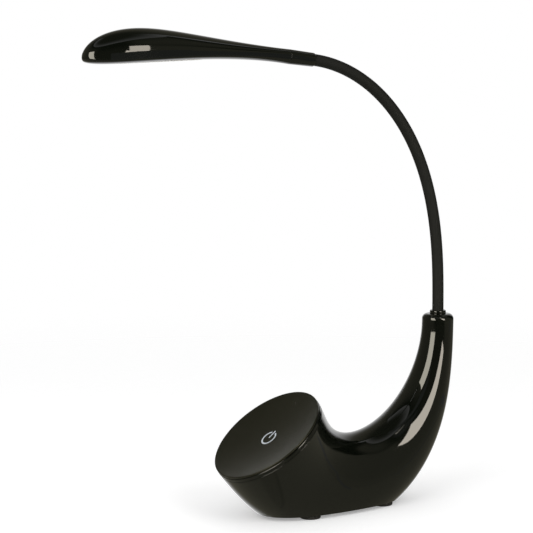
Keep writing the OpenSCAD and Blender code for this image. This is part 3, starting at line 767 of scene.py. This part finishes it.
def link_lean(i):
    """Lean of neck link i, in radians."""
    return math.radians(NECK_LEAN * (i / LINKS) ** NECK_EASE)


PIVOTS = [np.array(joint["pos_m"][1:]) / MM for joint in joints]
HALF_LINK = np.linalg.norm(PIVOTS[1] - PIVOTS[0]) / 2


def toward(lean):
    """Direction [y, z] that leans towards the front."""
    return np.array([-math.sin(lean), math.cos(lean)])


SLEEVE_TAIL = 18                    # below the horn's top
CORE_TAIL = 26
SLEEVE_TIP = 14                     # beyond the neck's end, in the head's collar
HEAD_SPIGOT_L = 9
CORE_TIP = COLLAR_L + HEAD_SPIGOT_L + 2
NECK_FOOT = PIVOTS[0] - toward(link_lean(0)) * HALF_LINK
NECK_END = PIVOTS[-1] + toward(link_lean(LINKS)) * HALF_LINK


def bend_stations(k, tail=0, tip=0, steps=20):
    """Places [y, z] and leans along the arc over joint k, from middle of link to middle of link, with a
    straight tail before it and a straight tip after it."""
    before, after = link_lean(k), link_lean(k + 1)
    start = PIVOTS[k] - toward(before) * HALF_LINK
    turn = after - before
    radius = HALF_LINK / math.tan(turn / 2)
    stations = [(start - toward(before) * tail, before)] if tail else []
    for s in np.linspace(0, 1, steps + 1):
        lean = before + turn * s
        chord = 2 * radius * math.sin(turn * s / 2)
        stations.append((start + toward((before + lean) / 2) * chord, lean))
    if tip:
        stations.append((stations[-1][0] + toward(after) * tip, after))
    return stations


def hose(stations, radius, bore, around=48, start=0):
    """Points, faces and unbent points of a tube through stations, open in the middle where it has a bore.
    Its first station is at a length start along the unbent tube."""
    angles = np.linspace(0, 2 * np.pi, around, endpoint=False)
    ring = np.stack([np.cos(angles), np.sin(angles), np.zeros(around)], -1)
    steps = [np.linalg.norm(after[0] - before[0]) for before, after in zip(stations, stations[1:])]
    lengths = start + np.cumsum([0, *steps])
    walls = [(radius, 1), (bore, -1)] if bore else [(radius, 1)]
    rows = [leaned(ring * r, place, lean) for r, way in walls for place, lean in stations[::way]]
    straight = [ring * r + [0, 0, length] for r, way in walls for length in lengths[::way]]
    points, faces = loft(rows, loop=bool(bore))
    if not bore:
        last = (len(rows) - 1) * around
        faces += [tuple(range(around)), tuple(range(last, last + around))]
    return points, faces, np.concatenate(straight)


def neck_run(kind, radius, bore, surface, tail=0, tip=0, node=None):
    """One kind of tube along the whole neck, in a piece for each joint. The first stands for two of the
    node's links, and each later one for the link after its joint."""
    for k in range(LINKS):
        tail_here = tail if k == 0 else 0
        tip_here = tip if k == LINKS - 1 else 0
        stations = bend_stations(k, tail_here, tip_here)
        links = range(2) if k == 0 else [k + 1]
        stands_for = [f"{node}_{link}" for link in links] if node else []
        points, faces, straight = hose(stations, radius, bore, start=k * 2 * HALF_LINK - tail_here)
        made = piece(f"{kind}_{k + 1}", (points, faces), surface, stands_for=stands_for,
                     straight=straight)
        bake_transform(made)


def neck():
    """The steel core and the sleeve over it, from inside the horn's top to inside the head."""
    foot_h = NECK_FOOT[1] - FOOT_H - HORN_H
    neck_run("sleeve", NECK_R, CORE_R + PLAY, sleeve_silicone,
             tail=foot_h + SLEEVE_TAIL, tip=SLEEVE_TIP, node="neck_sleeve")
    neck_run("core", CORE_R, CORE_BORE_R, spring_steel,
             tail=foot_h + CORE_TAIL, tip=CORE_TIP, node="neck_core")


def lead_tube(points, radius):
    """Skin of a round lead through points [y, z]."""
    points = np.asarray(points, float)
    way = np.gradient(points, axis=0)
    stations = [(p, math.atan2(-w[0], w[1])) for p, w in zip(points, way)]
    return hose(stations, radius, 0, around=16)[:2]


NECK_PLUG = [-108, 35.9]            # just above the lead's plug on the driver board


def neck_lead():
    """The lead from the driver board through the neck to the head: a piece in the base, one for each joint,
    and one in the head."""
    plug_y, plug_z = NECK_PLUG
    route = pulled([
        NECK_PLUG, [plug_y, plug_z + 18], [-46, 38], [0, 66], [0, HORN_H - 42],
    ], np.linspace(0, 1, 40)) + [HORN_Y, FOOT_H]
    piece("wire_base", lead_tube(np.concatenate([route, [NECK_FOOT]]), WIRE_R), lead_pvc, "base",
          ["neck_lead"])
    neck_run("wire", WIRE_R, 0, lead_pvc)
    along, up = toward(HEAD_LEAN), toward(HEAD_LEAN - math.pi / 2)
    leaves = NECK_END + along * (CORE_TIP + 2)
    end = NECK_END + up * SOLDER_POINT[0] + along * SOLDER_POINT[1]
    piece("wire_head", lead_tube([NECK_END, leaves, end], WIRE_R), lead_pvc, "head")


COLLAR_RING_R = HORN_BORE_R + 0.7
COLLAR_RING_H = 3
COLLAR_RING_ROUNDS = [0.1, 0.3, 1.3, 0.5]   # from the bore's foot outwards, up and back in


def horn_collar():
    """The low ring where the neck leaves the horn, rounded most at its outer top edge."""
    bore_r = NECK_R + PLAY
    outline = rounded([
        [bore_r, 0], [COLLAR_RING_R, 0], [COLLAR_RING_R, COLLAR_RING_H], [bore_r, COLLAR_RING_H],
    ], COLLAR_RING_ROUNDS, steps=9)
    points, faces = turned_on_z(outline, around=96)
    piece("horn_collar", (on_stand(points + [0, 0, HORN_H]), faces), gloss_abs, "base",
          ["neck_collar"])


# ---- Head: sections across its length, from the collar to the nose ----

NOSE_UP = -20.9
HEAD_TOP = [
    [COLLAR_L, COLLAR_R], [COLLAR_L + 40.8, 5.1], [HEAD_L - 53.5, 7.9], [HEAD_L - 61, 14.8],
    [HEAD_L + 0.5, 5.9], [HEAD_L, NOSE_UP],
]
HEAD_LOW = [
    [COLLAR_L, -COLLAR_R], [COLLAR_L + 65.4, -3.3], [HEAD_L - 24, -24.4], [HEAD_L, -29.2],
    [HEAD_L, NOSE_UP],
]
HEAD_SIDE = [
    [COLLAR_L, COLLAR_R], [COLLAR_L + 45, COLLAR_R + 1], [HEAD_L - 90, HEAD_W / 2 + 2],
    [HEAD_L - 22, HEAD_W / 2 + 7], [HEAD_L, HEAD_W / 2 - 3], [HEAD_L, 0],
]
UPPER_SQUARENESS = 2                # 2 is an ellipse
LOWER_SQUARENESS = 2.4
TRAY_H = 3.5                        # of the lower half, up to the seam, beyond the head's slim part
TRAY_RUN = 56
FINE = np.linspace(0, 1, 1200)
TOP_LINE, LOW_LINE, SIDE_LINE = (pulled(control, FINE) for control in (HEAD_TOP, HEAD_LOW, HEAD_SIDE))
HEAD_LEAN = link_lean(LINKS)
HEAD_ARC = np.linspace(0, math.pi, 61)
HEAD_STATIONS = 150
NOSE_WALL = 3 * HEAD_WALL
TIP_CUT = 0.02
DRAWN_SIZE = 0.02                   # share of its size that the hollow keeps where it ends


def head_section(f):
    """Half width, seam, height above it and height below it, at distance f from the neck's end."""
    top, low, side = (np.interp(f, *line.T) for line in (TOP_LINE, LOW_LINE, SIDE_LINE))
    early = max(0, 1 - (f - COLLAR_L) / TRAY_RUN)
    tray = min((top - low) / 2, TRAY_H + (COLLAR_R - TRAY_H) * early ** 2)
    return side, low + tray, top - low - tray, tray


def head_arc(f, way, size, wall, squareness):
    """Arc over (way 1) or under (way -1) the seam, a wall inside the head and drawn together to a size."""
    side, seam, above, below = head_section(f)
    wide = max(side - wall, 0) * size
    high = max((above if way > 0 else below) - wall, 0) * size
    across, along = np.cos(HEAD_ARC), np.clip(np.sin(HEAD_ARC), 0, None)
    return np.stack([
        way * wide * np.sign(across) * np.abs(across) ** (2 / squareness),
        seam + way * high * along ** (2 / squareness),
        np.full(len(HEAD_ARC), f),
    ], -1)


def head_half(way, squareness):
    """Skin of the head's upper or lower half, with its hollow."""
    hollow_end = HEAD_L - NOSE_WALL
    rows = []
    for s in np.sin(np.linspace(0, math.pi / 2, HEAD_STATIONS)):
        f = COLLAR_L + (HEAD_L - TIP_CUT - COLLAR_L) * s
        size = max(DRAWN_SIZE, min(1, (HEAD_L - f) / NOSE_WALL))
        rows.append(np.concatenate([
            head_arc(f, way, 1, 0, squareness),
            head_arc(min(f, hollow_end), way, size, HEAD_WALL, squareness)[::-1],
        ]))
    points, faces = loft(rows)
    return points, faces + end_caps(rows)


def on_head(skin):
    """A skin of the head's frame: +Z along it to the nose, +Y up."""
    return leaned(skin[0], NECK_END, HEAD_LEAN), skin[1]


WINDOW_SINK = 0.2
WINDOW_F = HEAD_L - WINDOW_INSET
WINDOW_BACK, WINDOW_FRONT = (
    np.interp(WINDOW_F + way * WINDOW_L / 2, *LOW_LINE.T) + WINDOW_SINK for way in (-1, 1)
)
WINDOW_SLOPE = math.atan2(WINDOW_BACK - WINDOW_FRONT, WINDOW_L)
WINDOW_MID = [(WINDOW_BACK + WINDOW_FRONT) / 2, WINDOW_F]
FLANGE_Y = 2.8
FLANGE_T = 1
REFLECTOR_H = 4
LED_BOARD_T = 1.6
LED_BOARD_HALF = (WINDOW_L - 4) / 2
SPREADER_Y = FLANGE_Y + FLANGE_T + REFLECTOR_H + LED_BOARD_T
# Where the lead is soldered, behind the LED board, as [up, along] in the head's frame
SOLDER_POINT = [
    WINDOW_MID[0] + LED_BOARD_HALF * math.sin(WINDOW_SLOPE) + (SPREADER_Y - 1) * math.cos(WINDOW_SLOPE),
    WINDOW_MID[1] - LED_BOARD_HALF * math.cos(WINDOW_SLOPE)
    + (SPREADER_Y - LED_BOARD_T) * math.sin(WINDOW_SLOPE) - 2,
]


def on_window(skin):
    """A skin of the window's frame: +Z along it, +Y up into the head from its outer face."""
    return on_head((leaned(skin[0], WINDOW_MID, WINDOW_SLOPE), skin[1]))


def slot_ring(length, width, height):
    """Outline with round ends on the window's plane, at a height into the head."""
    turn = np.linspace(-math.pi / 2, math.pi / 2, 25)
    end = np.stack([width / 2 * np.sin(turn), width / 2 * np.cos(turn) + (length - width) / 2], -1)
    x, z = np.concatenate([end, -end]).T
    return np.stack([x, np.full(len(x), height), z], -1)


def slot_skin(rings):
    """Closed skin over outlines with round ends."""
    points, faces = loft(rings)
    across = len(rings[0])
    return points, faces + [tuple(range(across)), tuple(range(len(points) - across, len(points)))]


def head_upper():
    """The upper half of the head, an ellipse over the seam."""
    piece("head_upper", on_head(head_half(1, UPPER_SQUARENESS)), gloss_abs, "head", ["head_shell"])


WINDOW_CUT = 4                      # how far the window's hole reaches in and out from its face


def head_lower():
    """The tray under the seam, with the hole for the window cut before the tray rides its body."""
    made = piece("head_lower", on_head(head_half(-1, LOWER_SQUARENESS)), gloss_abs,
                 stands_for=["head_cover"])
    hole = [slot_ring(WINDOW_L, WINDOW_W, height) for height in (-WINDOW_CUT, WINDOW_CUT)]
    cut(made, on_window(slot_skin(hole)))
    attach(made, "head")


FLANGE_WIDER = 3
WINDOW_ROUND = 0.6
WINDOW_CROWN = 0.25
WINDOW_PROUD = 0.1


def light_window():
    """The diffuser, slightly crowned, on its flange."""
    length, width = WINDOW_L - 2 * PLAY, WINDOW_W - 2 * PLAY
    rings = []
    for s in np.linspace(0.15, 1, 8)[:-1]:
        narrower = 2 * WINDOW_ROUND + (1 - s) * (width - 2 * WINDOW_ROUND)
        height = -WINDOW_PROUD - WINDOW_CROWN * (1 - s ** 2)
        rings.append(slot_ring(length - narrower, width - narrower, height))
    for a in np.linspace(0, math.pi / 2, 6):
        narrower = 2 * WINDOW_ROUND * (1 - math.sin(a))
        height = WINDOW_ROUND * (1 - math.cos(a)) - WINDOW_PROUD
        rings.append(slot_ring(length - narrower, width - narrower, height))
    rings.append(slot_ring(length, width, FLANGE_Y))
    for height in (FLANGE_Y, FLANGE_Y + FLANGE_T):
        rings.append(slot_ring(WINDOW_L + FLANGE_WIDER, WINDOW_W + FLANGE_WIDER, height))
    piece("light_window", on_window(slot_skin(rings)), opal_acrylic, "head", ["diffuser"])


def head_tail():
    """The sleeve behind the head that takes the neck, with the spigot that the head's halves close on."""
    bore_r, core_bore_r = NECK_R + PLAY, CORE_R + PLAY
    shoulder, spigot_end = COLLAR_L - SEAM, COLLAR_L + HEAD_SPIGOT_L
    spigot_r = COLLAR_R - HEAD_WALL - PLAY
    outline = rounded([
        [bore_r, 0], [NECK_R + 0.5, 0], [NECK_R + 0.8, 0.5], [COLLAR_R, shoulder], [spigot_r, shoulder],
        [spigot_r, spigot_end], [core_bore_r, spigot_end], [core_bore_r, SLEEVE_TIP], [bore_r, SLEEVE_TIP],
    ], EDGE_ROUND)
    piece("head_tail", on_head(turned_on_z(outline, around=96)), gloss_abs, "head",
          ["head_collar"])


# ---- Studio, in metres and degrees ----

FILL_LEVEL = 0.6
WHITE = (1, 1, 1, 1)
LAMP_MID = Vector((0, 0, 0.2))
# Places on the lamp's right side that a softbox or a card is aimed at
HORN_FLANK = Vector((0.02, 0.12, 0.075))
HEAD_FLANK = Vector((0.017, -0.135, 0.384))
TAIL_FLANK = Vector((0.012, -0.06, 0.386))


def direction(azimuth, elevation):
    """Unit vector: azimuth 0 is towards the front, -Y, and 90 towards +X."""
    a, e = math.radians(azimuth), math.radians(elevation)
    return Vector((math.sin(a) * math.cos(e), -math.cos(a) * math.cos(e), math.sin(e)))


def seen_beyond_lamp(tree):
    """1 for the rays that show what is behind the lamp: straight, mirrored and through glass."""
    path = add(tree, "ShaderNodeLightPath")
    straight = add(tree, "ShaderNodeMath", {
        0: path.outputs["Is Camera Ray"], 1: path.outputs["Is Glossy Ray"],
    }, operation="ADD")
    return add(tree, "ShaderNodeMath", {
        0: straight.outputs[0], 1: path.outputs["Is Transmission Ray"],
    }, operation="ADD", use_clamp=True).outputs[0]


def studio_world():
    """White background, and a soft fill on the lamp."""
    world = bpy.data.worlds.new("studio")
    bpy.context.scene.world = world
    world.use_nodes = True
    tree = world.node_tree
    tree.nodes.clear()
    fill = add(tree, "ShaderNodeBackground", {"Color": WHITE, "Strength": FILL_LEVEL})
    white = add(tree, "ShaderNodeBackground", {"Color": WHITE, "Strength": 1.0})
    mix = add(tree, "ShaderNodeMixShader", {
        0: seen_beyond_lamp(tree), 1: fill.outputs[0], 2: white.outputs[0],
    })
    add(tree, "ShaderNodeOutputWorld", {"Surface": mix.outputs[0]})


def ramp(s, share):
    """Rises smoothly from 0 to 1 while s goes from 0 to a share of 1."""
    up = np.clip(s / share, 0, 1) if share else np.ones_like(s)
    return up * up * (3 - 2 * up)


def along_edge(edge, up):
    """Angles at shares up of an edge that runs through (azimuth, elevation) pairs."""
    places = up * (len(edge) - 1)
    return np.stack([np.interp(places, range(len(edge)), angles) for angles in np.transpose(edge)], -1)


PATCH_COLUMNS = 48
PATCH_ROWS = 8                      # between two pairs of an edge


def mirrored(name, left, right, level, tint="#ffffff", distance=4.0, seen_from=LAMP_MID,
             fade=(0, 0, 0, 0)):
    """A part of the studio that glows at a level and shows in reflections alone. Its left and right edges
    run upwards through (azimuth, elevation) pairs, as seen from a place. It fades out over shares of its
    width at the left and right, and of its height at the bottom and top."""
    across = np.linspace(0, 1, PATCH_COLUMNS + 1)
    up = np.linspace(0, 1, PATCH_ROWS * (len(left) - 1) + 1)
    rows = [
        np.array([seen_from + direction(*(a + (b - a) * s)) * distance for s in across])
        for a, b in zip(along_edge(left, up), along_edge(right, up))
    ]
    points, faces = loft(rows, ring=False)
    fade_left, fade_right, fade_bottom, fade_top = fade
    presence = np.outer(
        ramp(up, fade_bottom) * ramp(1 - up, fade_top),
        ramp(across, fade_left) * ramp(1 - across, fade_right),
    )
    mesh = bpy.data.meshes.new(name)
    mesh.from_pydata(points.tolist(), [], faces)
    mesh.attributes.new("presence", "FLOAT", "POINT").data.foreach_set("value", presence.ravel())
    surface, tree = blank(name)
    there = add(tree, "ShaderNodeAttribute", attribute_name="presence")
    clear = add(tree, "ShaderNodeBsdfTransparent")
    light = add(tree, "ShaderNodeEmission", {"Color": linear(tint), "Strength": level})
    mix = add(tree, "ShaderNodeMixShader", {
        0: there.outputs["Fac"], 1: clear.outputs[0], 2: light.outputs[0],
    })
    add(tree, "ShaderNodeOutputMaterial", {"Surface": mix.outputs[0]})
    mesh.materials.append(surface)
    made = placed(name, mesh)
    for rays in ("camera", "diffuse", "transmission", "shadow", "volume_scatter"):
        setattr(made, f"visible_{rays}", False)


def block(left, right, low, high):
    """Left and right edge of a patch between two azimuths and two elevations."""
    return [(left, low), (left, high)], [(right, low), (right, high)]


ROOM_TINT = "#f8f2d6"
SOFTBOX_TINT = "#fff6e6"
FRONT_SOFTBOX_TINT = "#fff9e7"


def mirrored_room():
    """What the gloss shows: a dark room over a dim table, open at the back towards the white sweep. A patch
    covers those that stand farther off. Parts of the table that stand equally far fade into each other."""
    sweep_edge = [(213, -90), (213, -10), (211, 0), (206, 14), (198, 35), (185, 53), (182, 60)]
    far_edge = [(-104, elevation) for _, elevation in sweep_edge]
    mirrored("room", far_edge, sweep_edge, level=0.0, distance=4.5, fade=(0.12, 0.015, 0, 0))
    mirrored("sweep_upper", [(200, 6), (180, 90)], [(280, 6), (280, 90)], level=0.2, tint=ROOM_TINT,
             distance=4.55, fade=(0, 0, 0.45, 0))
    mirrored("room_overhead", *block(-90, 270, 50, 90), level=0.05, tint=ROOM_TINT, distance=4.45,
             fade=(0, 0, 0.6, 0))
    mirrored("room_left", *block(-112, 62, -12, 58), level=0.17, tint=ROOM_TINT, distance=4.4,
             fade=(0.2, 0.25, 0.05, 0.2))
    mirrored("room_right", *block(30, 122, -16, 50), level=0.06, tint=ROOM_TINT, distance=4.35,
             fade=(0.3, 0.1, 0.1, 0.3))
    wall_edge = [(190, -12), (183, -2), (175, 10), (162, 23), (148, 33), (132, 42)]
    front_edge = [(104, elevation) for _, elevation in wall_edge]
    mirrored("wall", front_edge, wall_edge, level=0.22, tint=ROOM_TINT, distance=4.2,
             fade=(0.15, 0.08, 0, 0.2))
    mirrored("wall_top", *block(100, 176, 34, 66), level=0.17, tint=ROOM_TINT, distance=4.25,
             fade=(0.3, 0.25, 0.3, 0.5))
    mirrored("table_left", *block(-112, 35, -90, -3), level=0.3, tint=ROOM_TINT,
             fade=(0.18, 0.1, 0, 0.06))
    mirrored("table_middle", *block(25, 110, -90, -12), level=0.26, tint=ROOM_TINT,
             fade=(0, 0.1, 0, 0.1))
    mirrored("table_right", *block(100, 218, -90, -4), level=0.28, tint=ROOM_TINT,
             fade=(0.1, 0.1, 0, 0.06))
    mirrored("table_back", *block(212, 270, -90, -50), level=0.28, tint=ROOM_TINT, distance=4.02,
             fade=(0, 0, 0, 0.3))
    mirrored("table_edge", [(134, -18), (134, -16)], [(150, -8.5), (150, -7)], level=0.18, distance=3.9)
    mirrored("table_edge_far", [(150, -8.5), (150, -7)], [(185, -17), (185, -15)], level=0.18,
             distance=3.9)


def mirrored_softboxes():
    """Two softboxes for the horn and one for the head, with dark cards that keep them apart."""
    mirrored("softbox_front", [(8, 1), (-5.5, 39)], [(40, 1), (26.5, 43)], level=7.8,
             tint=FRONT_SOFTBOX_TINT, distance=3.5, seen_from=HORN_FLANK)
    mirrored("softbox_side", [(97, 4.5), (87, 18), (84, 27), (86, 41)],
             [(112, 6), (109.5, 16), (108, 23), (107.5, 29)], level=9.2, tint=SOFTBOX_TINT, distance=1.2,
             seen_from=HORN_FLANK)
    mirrored("softbox_side_high", [(103.5, 22), (106.2, 39.5)], [(117, 20), (121.8, 36)], level=8,
             tint=SOFTBOX_TINT, distance=0.6, seen_from=HEAD_FLANK)
    mirrored("card_by_head", [(79, -24), (79, 23)], [(140, -24), (140, 18)], level=0.15, distance=0.25,
             seen_from=HEAD_FLANK)
    mirrored("card_by_tail", *block(100, 150, -24, 18), level=0.15, distance=0.2, seen_from=TAIL_FLANK)
    mirrored("card_by_horn", *block(66, 96, 43, 58), level=0.1, distance=0.35, seen_from=HORN_FLANK,
             fade=(0.2, 0.2, 0, 0.2))


def aim(made, target, way, distance):
    """Sets a lamp or the camera off from its target, some distance along a way, and turns it to face it."""
    made.location = target + way * distance
    made.rotation_mode = "QUATERNION"
    made.rotation_quaternion = way.to_track_quat("Z", "Y")


KEY_DISTANCE = 1.5


def key_lamp(name, azimuth, elevation, size, level):
    """A soft lamp that the gloss doesn't show. A level of 1 lights a surface that faces it as white light
    of strength 1 from all round would."""
    data = bpy.data.lights.new(name, "AREA")
    data.shape = "RECTANGLE"
    data.size, data.size_y = size
    data.energy = level * math.pi * math.pi * KEY_DISTANCE ** 2
    made = placed(name, data)
    aim(made, LAMP_MID, direction(azimuth, elevation), KEY_DISTANCE)
    made.visible_glossy = False
    made.visible_camera = False


FLOOR_R = 1.2
FLOOR_CLEAR_R = 0.35                # up to which the floor is whole
FLOOR_PAINT = "#fafafa"
FLOOR_LIFT = 0.3                    # glow that makes up for what the lamps don't give the floor
FLOOR_SIDES = 96


def pale_floor():
    """White floor that keeps the lamp's soft shadow and fades into the background all round."""
    surface, tree = blank("white_floor")
    place = add(tree, "ShaderNodeTexCoord").outputs["Object"]
    reach = add(tree, "ShaderNodeVectorMath", {0: place}, operation="LENGTH")
    fade = add(tree, "ShaderNodeMapRange", {
        "Value": reach.outputs["Value"], "From Min": FLOOR_CLEAR_R, "From Max": FLOOR_R,
        "To Min": 1.0, "To Max": 0.0,
    }, interpolation_type="SMOOTHSTEP")
    paint = add(tree, "ShaderNodeBsdfDiffuse", {"Color": linear(FLOOR_PAINT)})
    seen = add(tree, "ShaderNodeMath", {0: seen_beyond_lamp(tree), 1: FLOOR_LIFT}, operation="MULTIPLY")
    lift = add(tree, "ShaderNodeEmission", {"Color": WHITE, "Strength": seen.outputs[0]})
    lit = add(tree, "ShaderNodeAddShader", {0: paint.outputs[0], 1: lift.outputs[0]})
    clear = add(tree, "ShaderNodeBsdfTransparent")
    mix = add(tree, "ShaderNodeMixShader", {0: fade.outputs[0], 1: clear.outputs[0], 2: lit.outputs[0]})
    add(tree, "ShaderNodeOutputMaterial", {"Surface": mix.outputs[0]})
    mesh = bpy.data.meshes.new("floor")
    turn = np.linspace(0, 2 * math.pi, FLOOR_SIDES + 1)[:-1]
    rim = [(FLOOR_R * math.cos(a), FLOOR_R * math.sin(a), 0) for a in turn]
    mesh.from_pydata(rim, [], [tuple(range(len(rim)))])
    mesh.materials.append(surface)
    floor = placed("floor", mesh)
    floor.visible_glossy = False


def studio():
    """Soft lamps light the surfaces at a plain level. The mirrored patches give the gloss what it shows."""
    studio_world()
    mirrored_room()
    mirrored_softboxes()
    key_lamp("key_front", azimuth=23, elevation=30, size=(1.0, 1.0), level=0.3)
    key_lamp("key_side", azimuth=102, elevation=30, size=(0.8, 1.0), level=0.25)
    pale_floor()


CAMERA_AZIMUTH = 59.5
CAMERA_ELEVATION = 7.0
CAMERA_DISTANCE = 1.4787
CAMERA_LENS_MM = 123.36
CAMERA_SENSOR_MM = 36
CAMERA_REACH = 50
AIM_AHEAD_MM = 171.0                # in front of the horn's axis
AIM_HEIGHT = 0.2085


def camera():
    """A long lens, a little above the lamp and to its right."""
    data = bpy.data.cameras.new("camera")
    data.lens = CAMERA_LENS_MM
    data.sensor_width = CAMERA_SENSOR_MM
    data.clip_end = CAMERA_REACH
    made = placed("camera", data)
    target = Vector((0, (HORN_Y - AIM_AHEAD_MM) * MM, AIM_HEIGHT))
    aim(made, target, direction(CAMERA_AZIMUTH, CAMERA_ELEVATION), CAMERA_DISTANCE)
    bpy.context.scene.camera = made


camera()
dress_cad_nodes()
base_casing()
touch_dish()
bright_ring()
power_symbol()
sensor_lens()
rubber_soles()
inlet_rim()
neck()
neck_lead()
horn_collar()
head_tail()
head_upper()
head_lower()
light_window()
studio()
bpy.context.scene.view_settings.view_transform = "Standard"
